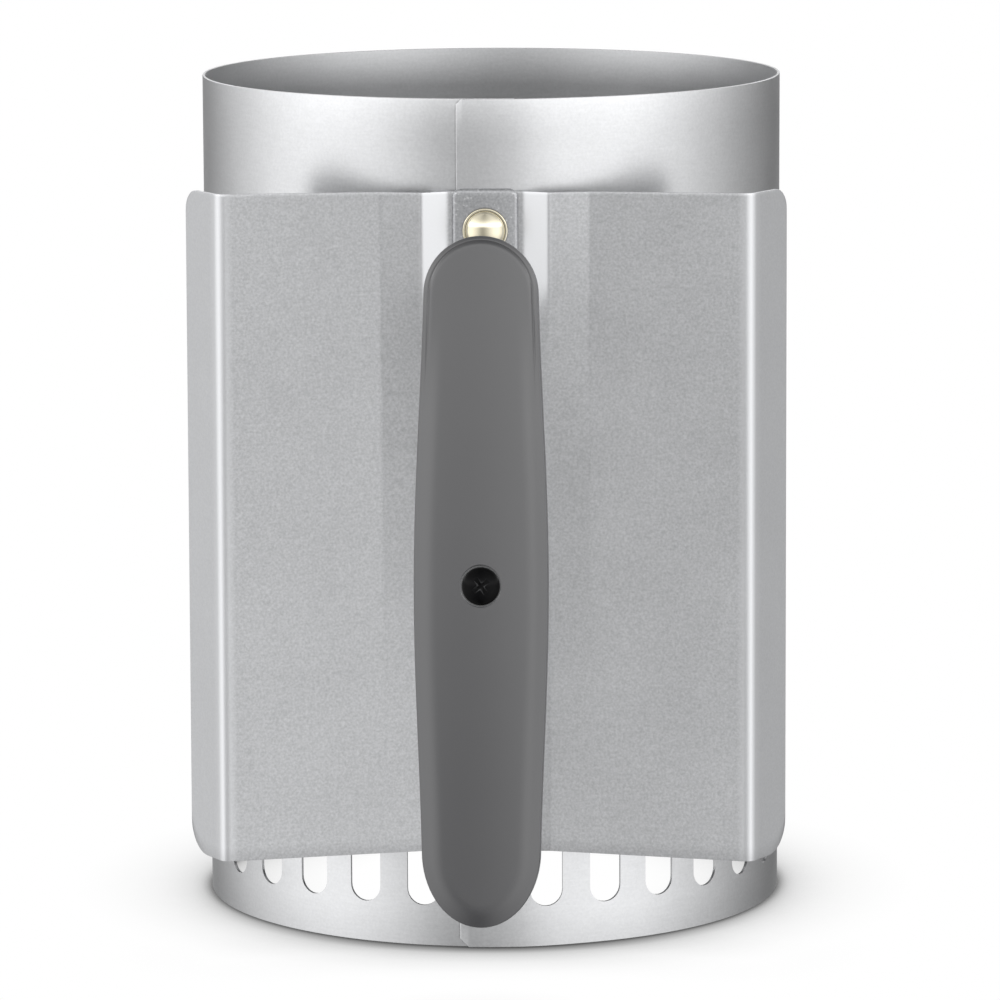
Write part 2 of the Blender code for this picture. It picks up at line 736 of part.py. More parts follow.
def build_ring(name, radius, wire, segments, anchor):
    """A wire ring welded under the spokes."""
    bpy.ops.mesh.primitive_torus_add(
        major_radius=radius, minor_radius=wire, major_segments=segments, minor_segments=8
    )
    made = bpy.context.active_object
    mesh = made.data
    bpy.data.objects.remove(made)
    height = spoke_height(radius) - (wire + SPOKE_WIRE + GAP) / math.cos(GRATE_SLOPE)
    part(name, mesh, WIRE, Matrix.Translation((0, 0, height)), sharp=60, parent=anchor)


def spoke_mesh(inner):
    """A straight wire over the rings, from the outer ring up to an inner one, on the handle's side."""
    curve = bpy.data.curves.new("spoke", "CURVE")
    curve.dimensions = "3D"
    curve.bevel_depth = SPOKE_WIRE
    curve.bevel_resolution = 2
    curve.use_fill_caps = True
    spline = curve.splines.new("POLY")
    spline.points.add(1)
    for spot, radius in zip(spline.points, (OUTER_RING + SPOKE_OVERRUN, inner - SPOKE_OVERRUN)):
        spot.co = (0, -radius, spoke_height(radius), 1)
    return mesh_from_curve("spoke", curve)


def build_grate():
    anchor = grate_anchor()
    build_ring("grate_ring_outer", OUTER_RING, RING_WIRE, 56, anchor)
    build_ring("grate_ring_middle", MIDDLE_RING, SPOKE_WIRE, 40, anchor)
    build_ring("grate_ring_top", TOP_RING, SPOKE_WIRE, 24, anchor)
    kinds = (spoke_mesh(TOP_RING), spoke_mesh(MIDDLE_RING))
    for i in range(SPOKE_COUNT):
        turn = Matrix.Rotation(math.tau * (i + 0.5) / SPOKE_COUNT, 4, "Z")
        part(f"grate_spoke_{i + 1:02d}", kinds[i % 2], WIRE, turn, sharp=60, parent=anchor)


# ---------------------------------------------------------------- the whole object


def build():
    rivet_holes = rivet_hole_cutter()
    screw_hole = cutter(
        "screw_hole",
        rod_mesh("screw_hole", SCREW_HOLE, -2 * GRIP_DEPTH, 2 * GRIP_DEPTH),
        grip_frame(SCREW_ALONG),
    )
    build_drum(rivet_holes)
    build_shield(rivet_holes)
    build_strap(rivet_holes, screw_hole)
    build_rivets()
    build_grip(screw_hole)
    build_screw()
    build_nut(screw_hole)
    build_grate()


build()
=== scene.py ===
"""Looks of the chimney charcoal starter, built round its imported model.

Metres, +Z up. X = 0 is the plane of the handle, -Y is the handle's side, and Z = 0 is the ground.
"out" means the distance from the drum's axis towards the handle.
"""

import json
from math import asin, atan2, ceil, cos, exp, hypot, pi, radians, remainder, sin, sqrt, tan, tau

import bmesh
import bpy
from mathutils import Matrix, Vector


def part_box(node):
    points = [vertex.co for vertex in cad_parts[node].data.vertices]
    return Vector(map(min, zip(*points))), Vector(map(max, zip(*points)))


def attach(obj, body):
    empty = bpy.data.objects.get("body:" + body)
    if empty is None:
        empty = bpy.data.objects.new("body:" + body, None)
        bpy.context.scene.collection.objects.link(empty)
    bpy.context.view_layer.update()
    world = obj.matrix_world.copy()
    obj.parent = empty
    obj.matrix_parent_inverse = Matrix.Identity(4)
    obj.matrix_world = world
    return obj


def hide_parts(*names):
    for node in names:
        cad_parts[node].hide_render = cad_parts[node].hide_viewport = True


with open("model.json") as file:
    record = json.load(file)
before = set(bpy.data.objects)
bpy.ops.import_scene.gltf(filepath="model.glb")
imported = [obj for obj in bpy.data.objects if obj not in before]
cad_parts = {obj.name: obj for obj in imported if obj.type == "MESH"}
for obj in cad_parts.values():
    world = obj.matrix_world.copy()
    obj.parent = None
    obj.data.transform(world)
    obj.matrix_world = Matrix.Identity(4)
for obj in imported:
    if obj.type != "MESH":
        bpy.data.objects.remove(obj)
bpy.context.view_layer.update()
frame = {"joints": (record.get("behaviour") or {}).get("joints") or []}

MM = 0.001
GAP = 0.3 * MM  # that the model keeps between two pieces that touch
QUARTER = pi / 2
scene = bpy.context.scene

# ---- places and sizes from the model

DRUM_LOW, DRUM_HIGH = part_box("drum_wall")
SHIELD_LOW, SHIELD_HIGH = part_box("heat_shield")
STRAP_LOW, STRAP_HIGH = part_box("handle_strap")

DRUM_RADIUS = (DRUM_HIGH.x - DRUM_LOW.x) / 2 - 0.01 * MM
DRUM_Y = DRUM_HIGH.y - DRUM_RADIUS
DRUM_HEIGHT = DRUM_HIGH.z
SHIELD_BOTTOM, SHIELD_TOP = SHIELD_LOW.z, SHIELD_HIGH.z
STRAP_WIDTH = STRAP_HIGH.x - STRAP_LOW.x
UPPER_FOOT_TOP, LOWER_FOOT_END = STRAP_HIGH.z, STRAP_LOW.z
GRIP_HALF_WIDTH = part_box("grip_front")[1].x


# ---- named dimensions

SHEET = 0.8 * MM
LIP = 0.22 * MM  # how far the sheet's cut edges are rounded
END_LIP = 0.18 * MM  # the same at the free end of the lapped seam
LAP_HALF_WIDTH = 7.9 * MM
LAP_GAP = 0.1 * MM
LAP_CORNER_TOP = 1.5 * MM
LAP_CORNER_BOTTOM = 2.4 * MM
LAP_RISE_TURN = radians(16)
DRUM_STEP = radians(1.5)
DRUM_ROW = 11 * MM
DRUM_WAVER = 0.05 * MM  # how far the rolled wall strays from a true cylinder

SLOT_COUNT = 30
SLOT_WIDTH = 9.2 * MM
SLOT_BOTTOM = 11.4 * MM
SLOT_TOP = 41.9 * MM
SLOT_TURN = radians(-0.8)
CUT_REACH = 3 * MM  # how far a slot's cutter stands out on both sides of the sheet

TAB_COUNT = 8
TAB_WIDTH = 9 * MM
TAB_LENGTH = 8 * MM
TAB_BEND = 1 * MM  # radius of the bend's middle line
TAB_TIP = 1.6 * MM  # radius of the tip's corners
TAB_SINK = 0.06 * MM  # how far a tab's root lies below the wall's outer face
WINDOW_MARGIN = 0.6 * MM
WINDOW_CORNER = 1 * MM
GRATE_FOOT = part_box("grate_ring_outer")[0].z
LOWER_TAB_TOP = GRATE_FOOT - GAP
GRATE_TRAVEL = frame["joints"][0]["range_m"][1]

SHIELD_OUT = DRUM_RADIUS + LAP_GAP + SHEET + GAP + SHEET
POCKET_FLOOR = 10.2 * MM
POCKET_MOUTH = 17.2 * MM
POCKET_FOOT = 176 * MM
POCKET_RUNOUT = 11 * MM
RIDGE_START = 69 * MM
RIDGE_HEIGHT = 3.4 * MM
RIDGE_POWER = 1.3  # how the ridge steepens towards the top
PANEL_BEND = 28.5 * MM
BEND_RISE_BOTTOM = 2.7 * MM
BEND_RISE_TOP = 1.1 * MM
BEND_SOFTNESS = 0.35 * MM
CREASE = 72.6 * MM
CREASE_RISE_BOTTOM = 13.6 * MM
CREASE_RISE_TOP = 6.2 * MM
FLANGE_SIDE = SHIELD_HIGH.x - CREASE
FLANGE_BACK = 15.7 * MM
CREASE_RADIUS = 4.0 * MM
FLANGE_CORNER_TOP = 6 * MM
FLANGE_CORNER_BOTTOM = 9 * MM
SHIELD_WAVER = 0.07 * MM

STRAP_THICK = 2.3 * MM
STRAP_EDGE = 1.05 * MM
STRAP_CORNER = 2.5 * MM
FOOT_OUT = SHIELD_OUT + GAP + STRAP_THICK / 2
UPPER_ARM_ROOT = 190 * MM
LOWER_ARM_ROOT = 66.9 * MM
FOOT_BEND = 5 * MM
SPINE_BEND = 7 * MM

RIVET_SHANK = 2.4 * MM
RIVET_HOLE = 2.75 * MM
RIVET_HEAD = 5.4 * MM
RIVET_RING = 6.15 * MM
RIVET_RING_THICK = 0.55 * MM
RIVET_GROOVE = 0.22 * MM
RIVET_DOME = 2.9 * MM
RIVET_DOME_POWER = 1.15  # a little more pointed than an ellipse
RIVET_TAIL = 3.6 * MM
RIVET_TAIL_THICK = 1.8 * MM
RIVET_DIMPLE = 0.6 * MM

GRIP_TOP_OUT = 133.7 * MM
GRIP_TOP = 204.8 * MM
GRIP_SLOPE = radians(10.5)
GRIP_LENGTH = 181.9 * MM
GRIP_END_TOP = (15.2 * MM, 15.2 * MM)  # length and half-width
GRIP_END_BOTTOM = (20 * MM, 15.7 * MM)
GRIP_WIDEST = 92.2 * MM
GRIP_DEPTH = 11 * MM
GRIP_PARTING_CHAMFER = 0.3 * MM
GRIP_BOW = 1.3 * MM
FRONT_CROWN = 2.2 * MM
BACK_CROWN = 1.2 * MM
CRISP_TO = (14 * MM, 46 * MM)  # along the grip: its crisp top edge fades out from the first to the second
GROOVE_DEPTH = 0.38 * MM
GROOVE_INSET = 1.6 * MM
GROOVE_WIDTH = 0.24 * MM
# Insets of the grip's contours in mm, closest round the outline and the groove
CONTOURS = (0, 0.02, 0.08, 0.18, 0.32, 0.5, 0.7, 0.9, 1.1, 1.3, 1.42, 1.51, 1.6, 1.69, 1.78, 1.9, 2.1, 2.5,
            3, 3.6, 4.3, 5.1, 6, 7, 8.2)
SPINE_TOP = 23.5 * MM
SPINE_BOTTOM = 156 * MM
SPINE_CLEARANCE = 0.3 * MM

SCREW_ALONG = 92.2 * MM
SCREW_SHANK = 1.9 * MM
SCREW_HOLE = 2.4 * MM
SCREW_HEAD = 5.1 * MM
SCREW_HEAD_HEIGHT = 4.4 * MM
SCREW_RIM = 1.7 * MM
THREAD_START = 6 * MM
THREAD_PITCH = 0.7 * MM
THREAD_DEPTH = 0.25 * MM
CROSS_TURN = radians(35)
# The recess's arms from over the head to their floor, in mm: height above the head, half-length, half-width
CROSS_LEVELS = ((1, 3.1, 0.85), (-0.1, 2.7, 0.7), (-1.7, 1.1, 0.4))
COUNTERBORE = 5.35 * MM
COUNTERBORE_FLOOR = 4 * MM
COUNTERBORE_MOUTH = 0.35 * MM
NUT_RADIUS = 4 * MM
NUT_THICK = 3.2 * MM
NUT_SEAT = 5 * MM
NUT_POCKET = 4.4 * MM

RING_WIRE = 2 * MM
SPOKE_WIRE = 1.5 * MM
GRATE_SLOPE = radians(27)
OUTER_RING = 75.6 * MM
MIDDLE_RING = 45 * MM
TOP_RING = 14 * MM
SPOKE_COUNT = 16
SPOKE_OVERRUN = 1.8 * MM
RING_WELD_TURN = radians(171)
RING_WELD_LENGTH = 1.6 * MM
RING_WELD_SWELL = 0.16
BEAD_SIZE = (2.0 * MM, 2.2 * MM, 0.8 * MM)

# ---- the camera


def make_camera():
    """Looks slightly down at the front of the drum from 20 of its radii away, a little to its right."""
    distance = 20 * DRUM_RADIUS
    above_rim = 1.773 * DRUM_RADIUS
    turn = radians(1.2)
    pitch = radians(9.305)
    aside = radians(0.07)
    roll = radians(-0.25)
    camera = bpy.data.objects.new("camera", bpy.data.cameras.new("camera"))
    scene.collection.objects.link(camera)
    camera.location = drum_point(turn, distance, DRUM_HEIGHT + above_rim)
    look = Matrix.Rotation(turn - aside, 4, "Z") @ Matrix.Rotation(QUARTER - pitch, 4, "X")
    camera.rotation_euler = (look @ Matrix.Rotation(roll, 4, "Z")).to_euler()
    camera.data.sensor_width = 36
    camera.data.lens = 207.9
    camera.data.clip_start = 0.1
    camera.data.clip_end = 20
    scene.camera = camera


# ---- node helpers


def new_tree(name):
    """A new material's tree, emptied, and its output node."""
    made = bpy.data.materials.new(name)
    made.use_nodes = True
    tree = made.node_tree
    tree.nodes.clear()
    return made, tree, tree.nodes.new("ShaderNodeOutputMaterial")


def add(tree, kind, inputs=None, **settings):
    """A node with its settings; an input's value is a number, a colour or another node's output."""
    node = tree.nodes.new("ShaderNode" + kind)
    for name, value in settings.items():
        setattr(node, name, value)
    for name, value in (inputs or {}).items():
        socket = node.inputs[name]
        if isinstance(value, bpy.types.NodeSocket):
            tree.links.new(value, socket)
        else:
            socket.default_value = value
    return node


def maths(tree, operation, *values, clamp=False):
    return add(tree, "Math", dict(enumerate(values)), operation=operation, use_clamp=clamp).outputs[0]


def scaled(tree, value, factor, plus, clamp=False):
    """value * factor + plus"""
    return maths(tree, "MULTIPLY_ADD", value, factor, plus, clamp=clamp)


def ramp(tree, value, stops, interpolation="LINEAR"):
    """A grey ramp through (place, level) stops."""
    node = add(tree, "ValToRGB", {"Fac": value})
    node.color_ramp.interpolation = interpolation
    elements = node.color_ramp.elements
    while len(elements) < len(stops):
        elements.new(1)
    for element, (place, level) in zip(elements, stops):
        element.position = place
        element.color = (level, level, level, 1)
    return node.outputs[0]


def noise(tree, scale, detail=2, roughness=0.5, stretch=(1, 1, 1)):
    """3D noise over the object's own space, with this many waves to the metre."""
    place = add(tree, "TexCoord").outputs["Object"]
    mapping = add(tree, "Mapping", {"Vector": place, "Scale": stretch})
    inputs = {"Vector": mapping.outputs[0], "Scale": scale, "Detail": detail, "Roughness": roughness}
    return add(tree, "TexNoise", inputs).outputs["Fac"]


def mix(tree, share, first, second, blend_type="MIX"):
    inputs = {0: share, 6: first, 7: second}
    return add(tree, "Mix", inputs, data_type="RGBA", blend_type=blend_type).outputs[2]


def multiply(tree, first, second):
    return mix(tree, 1.0, first, second, "MULTIPLY")


def own_place(tree, space="Object"):
    """The X, Y and Z of a point in its object's own space, or of a direction of the world."""
    return add(tree, "SeparateXYZ", {0: add(tree, "TexCoord").outputs[space]}).outputs


def tinted(colour, factor=1):
    """A colour made lighter or darker, with its alpha."""
    return (*(c * factor for c in colour), 1)


def hypotenuse(tree, x, y):
    squares = maths(tree, "ADD", maths(tree, "POWER", x, 2.0), maths(tree, "POWER", y, 2.0))
    return maths(tree, "SQRT", squares)


def bump(tree, height, strength, distance):
    return add(tree, "Bump", {"Height": height, "Strength": strength, "Distance": distance}).outputs[0]


# ---- light and floor

# The studio's brightness by direction, in degrees round from the camera's side towards +X
STUDIO = (
    (-180, 0.34), (-155, 0.14), (-132, 0.52), (-106, 1.04), (-86, 1.40),
    (-68, 1.62), (-50, 1.46), (-32, 1.04), (-18, 0.55), (-8, 0.42),
    (4, 0.66), (18, 1.08), (35, 1.50), (54, 1.63), (70, 1.34),
    (90, 0.90), (112, 0.55), (135, 0.27), (158, 0.12), (180, 0.34),
)
STUDIO_PEAK = 1.7


def make_world():
    """Two broad soft lights left and right of the camera under a dimmer ceiling, all white to the camera."""
    world = bpy.data.worlds.new("studio")
    scene.world = world
    world.use_nodes = True
    tree = world.node_tree
    tree.nodes.clear()
    parts = own_place(tree, "Generated")
    turn = maths(tree, "ARCTAN2", parts["X"], maths(tree, "MULTIPLY", parts["Y"], -1.0))
    round_share = scaled(tree, turn, 1 / tau, 0.5)
    stops = [(angle / 360 + 0.5, level / STUDIO_PEAK) for angle, level in STUDIO]
    walls = ramp(tree, round_share, stops, "B_SPLINE")
    height = scaled(tree, parts["Z"], 0.5, 0.5)
    ceiling = ramp(tree, height, ((0.565, 0.0), (0.665, 1.0)), "EASE")
    overhead = ramp(tree, height, ((0.6, 1.1), (0.68, 1.1), (0.75, 0.54), (0.85, 0.26), (1.0, 0.2)))
    high_walls = ramp(tree, height, ((0.66, 0.5), (0.85, 0.4), (1.0, 0.2)))
    overhead = mix(tree, 1.0, overhead, multiply(tree, walls, high_walls), "ADD")
    shade = mix(tree, ceiling, walls, overhead)
    table = ramp(tree, height, ((0.0, 0.42), (0.25, 0.72), (0.38, 0.96), (0.47, 1.0)))
    shade = multiply(tree, shade, table)
    lit = add(tree, "Background", {"Color": shade, "Strength": STUDIO_PEAK})
    plain = add(tree, "Background", {"Color": (1, 1, 1, 1), "Strength": 1.0})
    seen = add(tree, "LightPath").outputs["Is Camera Ray"]
    both = add(tree, "MixShader", {0: seen, 1: lit.outputs[0], 2: plain.outputs[0]})
    out = tree.nodes.new("ShaderNodeOutputWorld")
    tree.links.new(both.outputs[0], out.inputs["Surface"])


def front_shade(tree):
    """The deeper shade right in front of the drum's foot; the floor's own space is centred on the drum."""
    place = own_place(tree)
    radius = hypotenuse(tree, place["X"], place["Y"])
    span = 40 * MM
    past_drum = maths(tree, "SUBTRACT", radius, DRUM_RADIUS)
    away = scaled(tree, past_drum, 1 / span, 0.1, clamp=True)
    stops = ((0.08, 1.0), (0.1, 0.4), (0.2, 0.5), (0.3, 0.8), (0.4, 0.88), (0.57, 0.96), (0.85, 1.0))
    frontness = maths(tree, "DIVIDE", maths(tree, "MULTIPLY", place["Y"], -1.0), radius, clamp=True)
    return mix(tree, maths(tree, "POWER", frontness, 2.0), (1, 1, 1, 1), ramp(tree, away, stops))


def floor_material():
    """Plain white with a painted contact shadow where something stands close to it; it shows from above
    only.
    """
    made, tree, out = new_tree("floor_white")
    near = add(tree, "AmbientOcclusion", {"Distance": 6 * MM}, samples=16).outputs["AO"]
    wide = add(tree, "AmbientOcclusion", {"Distance": 40 * MM}, samples=16).outputs["AO"]
    near_shade = ramp(tree, near, ((0.5, 0.28), (0.6, 0.52), (0.7, 0.77), (0.85, 0.95), (1.0, 1.0)))
    wide_stops = ((0.5, 0.60), (0.58, 0.66), (0.66, 0.74), (0.78, 0.875), (0.91, 0.96), (1.0, 1.0))
    shade = multiply(tree, near_shade, ramp(tree, wide, wide_stops))
    shade = multiply(tree, shade, front_shade(tree))
    top = add(tree, "Emission", {"Color": shade, "Strength": 1.0})
    clear = add(tree, "BsdfTransparent")
    below = add(tree, "NewGeometry").outputs["Backfacing"]
    both = add(tree, "MixShader", {0: below, 1: top.outputs[0], 2: clear.outputs[0]})
    tree.links.new(both.outputs[0], out.inputs["Surface"])
    return made


def make_floor():
    form = bmesh.new()
    bmesh.ops.create_grid(form, x_segments=1, y_segments=1, size=3)
    mesh = bpy.data.meshes.new("floor")
    form.to_mesh(mesh)
    form.free()
    mesh.materials.append(floor_material())
    floor = put("floor", mesh, Matrix.Translation((0, DRUM_Y, -0.05 * MM)))
    for ray in ("diffuse", "glossy", "transmission", "shadow"):
        setattr(floor, "visible_" + ray, False)


# ---- materials

SOCKETS = {"colour": "Base Color", "roughness": "Roughness", "metallic": "Metallic", "normal": "Normal",
           "ior": "IOR", "specular": "Specular IOR Level"}
PAINTED_HIGHLIGHT = 1.38  # times the shield's colour where a highlight is painted on it
PAINTED_INSIDE_SHADE = 0.73  # times the drum's colour on its inner face, as painted shade


def principled(tree, out, **inputs):
    shader = add(tree, "BsdfPrincipled", {SOCKETS[key]: value for key, value in inputs.items()})
    tree.links.new(shader.outputs[0], out.inputs["Surface"])


def grained(tree, out, grain, shade, rough, relief, **inputs):
    """A shader whose roughness is (least, rise with the grain) and whose bump is (strength, distance)."""
    level = scaled(tree, grain, rough[1], rough[0])
    principled(tree, out, colour=shade, roughness=level, normal=bump(tree, grain, *relief), **inputs)


def painted_crevice_shade(tree, distance):
    """Painted shade from ambient occlusion: 1 on open surfaces, darker deep in corners closer than this."""
    near = add(tree, "AmbientOcclusion", {"Distance": distance}, samples=8).outputs["AO"]
    return ramp(tree, near, ((0.35, 0.35), (0.85, 1.0)))


def inside_drum(tree):
    """1 on the drum's inner face, where its shade is painted, 0 on its outer face."""
    place = own_place(tree)
    radius = hypotenuse(tree, place["X"], maths(tree, "SUBTRACT", place["Y"], DRUM_Y))
    return maths(tree, "LESS_THAN", radius, DRUM_RADIUS - SHEET * 0.75)


def painted_highlight_places(tree):
    """Where a highlight is painted on the shield's sheet: along its folds, on its flanges and on its
    pocket's walls.
    """
    span = 90 * MM
    place = own_place(tree)
    across = maths(tree, "MULTIPLY", maths(tree, "ABSOLUTE", place["X"]), 1 / span)
    fold_stops = ((-4, 0.0), (-1.2, 0.85), (0.8, 0.85), (2.5, 0.55))
    folds = ramp(tree, across, [((CREASE + off * MM) / span, level) for off, level in fold_stops])
    wall_stops = ((POCKET_FLOOR - 0.3 * MM, 0.0), (POCKET_FLOOR + 0.8 * MM, 0.9),
                  (POCKET_MOUTH - 0.5 * MM, 0.9), (POCKET_MOUTH + 1.2 * MM, 0.0))
    walls = ramp(tree, across, [(off / span, level) for off, level in wall_stops])
    above_foot = maths(tree, "SUBTRACT", place["Z"], POCKET_FOOT)
    above = maths(tree, "MULTIPLY", above_foot, 1 / POCKET_RUNOUT, clamp=True)
    return maths(tree, "MAXIMUM", folds, maths(tree, "MULTIPLY", walls, above))


def sheet_steel(name, colour, rough, metallic, grain_scale, contrast, relief, inside=False):
    """Satin coated sheet: a fine mottled grain with faint level streaks, cloudy patches and a soft sheen."""
    made, tree, out = new_tree(name)
    grain = noise(tree, grain_scale, detail=3, roughness=0.62)
    streaks = noise(tree, 1500, stretch=(0.12, 0.12, 1))
    clouds = noise(tree, 55)
    mottle = ramp(tree, grain, ((0.3, 0.0), (0.7, 1.0)))
    shade = mix(tree, mottle, tinted(colour, 1 - contrast), tinted(colour, 1 + contrast))
    shade = multiply(tree, shade, ramp(tree, clouds, ((0.3, 0.965), (0.7, 1.0))))
    shade = multiply(tree, shade, ramp(tree, streaks, ((0.3, 0.96), (0.7, 1.0))))
    shade = multiply(tree, shade, painted_crevice_shade(tree, 0.9 * MM))
    sheen = scaled(tree, grain, 0.08, rough - 0.04)
    sheen = scaled(tree, clouds, 0.05, maths(tree, "SUBTRACT", sheen, 0.025))
    normal = bump(tree, grain, relief, 0.05 * MM)
    if inside:
        # Painted shade: the drum's inner face is made darker than its outer face.
        inner = inside_drum(tree)
        shade = mix(tree, inner, shade, multiply(tree, shade, (PAINTED_INSIDE_SHADE, PAINTED_INSIDE_SHADE, PAINTED_INSIDE_SHADE, 1)))
        sheen = scaled(tree, inner, 0.05, sheen)
    else:
        # Painted highlight: the shield's folds, flanges and pocket walls are made lighter.
        pale = painted_highlight_places(tree)
        shade = mix(tree, pale, shade, tinted(colour, PAINTED_HIGHLIGHT))
        sheen = scaled(tree, pale, -0.1, sheen)
    principled(tree, out, colour=shade, metallic=metallic, roughness=sheen, normal=normal)
    return made


def strap_steel():
    """Plain bar steel: darker than the sheet, with small bright and dark pits."""
    made, tree, out = new_tree("strap_steel")
    grain = noise(tree, 1500, detail=3, roughness=0.6)
    pits = noise(tree, 950, detail=1)
    speck = ramp(tree, pits, ((0.62, 0.0), (0.72, 1.0)))
    mottle = ramp(tree, grain, ((0.3, 0.0), (0.7, 1.0)))
    shade = mix(tree, mottle, (0.32, 0.325, 0.335, 1), (0.46, 0.465, 0.475, 1))
    shade = mix(tree, maths(tree, "MULTIPLY", speck, 0.5), shade, (0.78, 0.78, 0.79, 1))
    shade = multiply(tree, shade, painted_crevice_shade(tree, 0.8 * MM))
    rough = scaled(tree, grain, 0.14, 0.34)
    normal = bump(tree, pits, 0.22, 0.10 * MM)
    principled(tree, out, colour=shade, metallic=1.0, roughness=rough, normal=normal)
    return made


def rivet_brass():
    """Polished pale plating with hair scratches."""
    made, tree, out = new_tree("rivet_brass")
    scratches = noise(tree, 900, detail=3, roughness=0.7, stretch=(1, 1, 0.15))
    shade = mix(tree, noise(tree, 240), (0.72, 0.65, 0.46, 1), (0.84, 0.79, 0.65, 1))
    shade = multiply(tree, shade, painted_crevice_shade(tree, 0.6 * MM))
    grained(tree, out, scratches, shade, (0.05, 0.08), (0.05, 0.03 * MM), metallic=1.0)
    return made


def grip_plastic():
    """Matt moulded plastic with a fine spark-eroded texture."""
    made, tree, out = new_tree("grip_plastic")
    texture = noise(tree, 1900, roughness=0.6)
    shade = mix(tree, noise(tree, 60), (0.025, 0.025, 0.028, 1), (0.031, 0.031, 0.034, 1))
    grained(tree, out, texture, shade, (0.27, 0.06), (0.18, 0.05 * MM), ior=1.56, specular=1.0)
    return made


def screw_black():
    """Black oxide over turned steel."""
    made, tree, out = new_tree("screw_black")
    texture = noise(tree, 1400, detail=3)
    shade = mix(tree, texture, (0.0015, 0.0015, 0.002, 1), (0.005, 0.005, 0.0055, 1))
    shade = multiply(tree, shade, painted_crevice_shade(tree, 0.8 * MM))
    grained(tree, out, texture, shade, (0.10, 0.16), (0.3, 0.06 * MM), specular=0.07)
    return made


def bright_steel(name, colour, rough):
    """Zinc plating or drawn wire: a fine grain with dull spots."""
    made, tree, out = new_tree(name)
    grain = noise(tree, 1300, detail=3, roughness=0.65)
    dull = maths(tree, "MULTIPLY", noise(tree, 260), grain)
    shade = mix(tree, dull, tinted(colour), tinted(colour, 0.82))
    grained(tree, out, grain, shade, (rough - 0.09, 0.18), (0.25, 0.05 * MM), metallic=1.0)
    return made


# ---- mesh helpers


def point(x, out, z):
    """The place of a point given by its distance out from the drum's axis."""
    return Vector((x, DRUM_Y - out, z))


def smooth(value, start, end):
    """0 before start, 1 after end, with a soft change between."""
    ratio = min(max((value - start) / (end - start), 0), 1)
    return ratio * ratio * (3 - 2 * ratio)


def arc(centre, radius, start, end, steps):
    turns = (start + (end - start) * i / steps for i in range(steps + 1))
    return [(centre[0] + radius * cos(a), centre[1] + radius * sin(a)) for a in turns]


def corner_drop(from_edge, radius):
    """How far a round corner of this radius falls short, this far in from the free edge."""
    inside = max(radius - from_edge, 0)
    return radius - sqrt(max(radius * radius - inside * inside, 0))


def round_section(centre, across, up, radius, sides):
    """A wire's cut: points round its centre, in the plane of these two directions."""
    turns = (tau * i / sides for i in range(sides))
    return [centre + (across * cos(a) + up * sin(a)) * radius for a in turns]


def add_copies(form, mesh, places):
    """Adds the mesh to the form at each of these places."""
    for place in places:
        copy = mesh.copy()
        copy.transform(place)
        form.from_mesh(copy)


def rounded_oblong(half_x, half_y, corner, steps):
    """A closed outline with round corners, starting at the one at +X and +Y."""
    outline = []
    for x, y, start in ((1, 1, 0), (-1, 1, 1), (-1, -1, 2), (1, -1, 3)):
        centre = (x * (half_x - corner), y * (half_y - corner))
        outline += arc(centre, corner, start * QUARTER, (start + 1) * QUARTER, steps)
    return outline


def spread(start, end, most):
    """Evenly spaced values from start to end, at most this far apart."""
    steps = max(1, ceil(abs(end - start) / most))
    return [start + (end - start) * i / steps for i in range(steps + 1)]


def mesh_of(name, form):
    mesh = bpy.data.meshes.new(name)
    bmesh.ops.recalc_face_normals(form, faces=form.faces)
    form.to_mesh(mesh)
    form.free()
    return mesh


def loft(name, rings, caps=(0, -1), merge=False):
    """A solid through rings of equal length, with flat ends on the rings at these places."""
    form = bmesh.new()
    loops = [[form.verts.new(spot) for spot in ring] for ring in rings]
    for loop, following in zip(loops, loops[1:]):
        for i in range(len(loop)):
            j = (i + 1) % len(loop)
            form.faces.new((loop[i], loop[j], following[j], following[i]))
    for place in caps:
        form.faces.new(loops[place])
    if merge:
        bmesh.ops.remove_doubles(form, verts=form.verts, dist=0.001 * MM)
    return mesh_of(name, form)


def put(name, mesh, place=Matrix.Identity(4)):
    """A new object in the scene: a piece, or a shape that is removed once it has been cut out or joined."""
    obj = bpy.data.objects.new(name, mesh)
    scene.collection.objects.link(obj)
    obj.matrix_world = place
    return obj


def apply_modifiers(obj):
    graph = bpy.context.evaluated_depsgraph_get()
    mesh = bpy.data.meshes.new_from_object(obj.evaluated_get(graph))
    obj.modifiers.clear()
    obj.data = mesh
    mesh.name = obj.name


def boolean(obj, others, operation):
    """Cuts the others out of the piece, or joins them to it, and removes them."""
    for other in others:
        modifier = obj.modifiers.new(other.name, "BOOLEAN")
        modifier.operation = operation
        modifier.solver = "EXACT"
        modifier.object = other
    apply_modifiers(obj)
    for other in others:
        bpy.data.objects.remove(other)


def take_mesh(obj):
    """The mesh of an object that is removed."""
    mesh = obj.data
    bpy.data.objects.remove(obj)
    return mesh


def carved(mesh, cutters, place=Matrix.Identity(4)):
    """The mesh with the cutters cut out of it."""
    solid = put("solid", mesh, place)
    boolean(solid, cutters, "DIFFERENCE")
    return take_mesh(solid)


def bevel_edges(obj, width):
    """A small bevel on an object's sharp edges, as a modifier."""
    bevel = obj.modifiers.new("edges", "BEVEL")
    bevel.width = width
    bevel.segments = 2
    bevel.limit_method = "ANGLE"
    bevel.angle_limit = radians(50)


def piece(name, mesh, material, body, replaced, place=Matrix.Identity(4), sharp=30):
    """A visible piece that rides on a body and stands for the model's nodes."""
    obj = put(name, mesh, place)
    mesh.materials.clear()
    mesh.materials.append(material)
    shade_smooth(mesh, sharp)
    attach(obj, body)
    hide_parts(*replaced)


def shade_smooth(mesh, sharp):
    """Smooth shading, with sharp edges above this angle in degrees."""
    mesh.shade_smooth()
    mesh.set_sharp_from_angle(angle=radians(sharp))


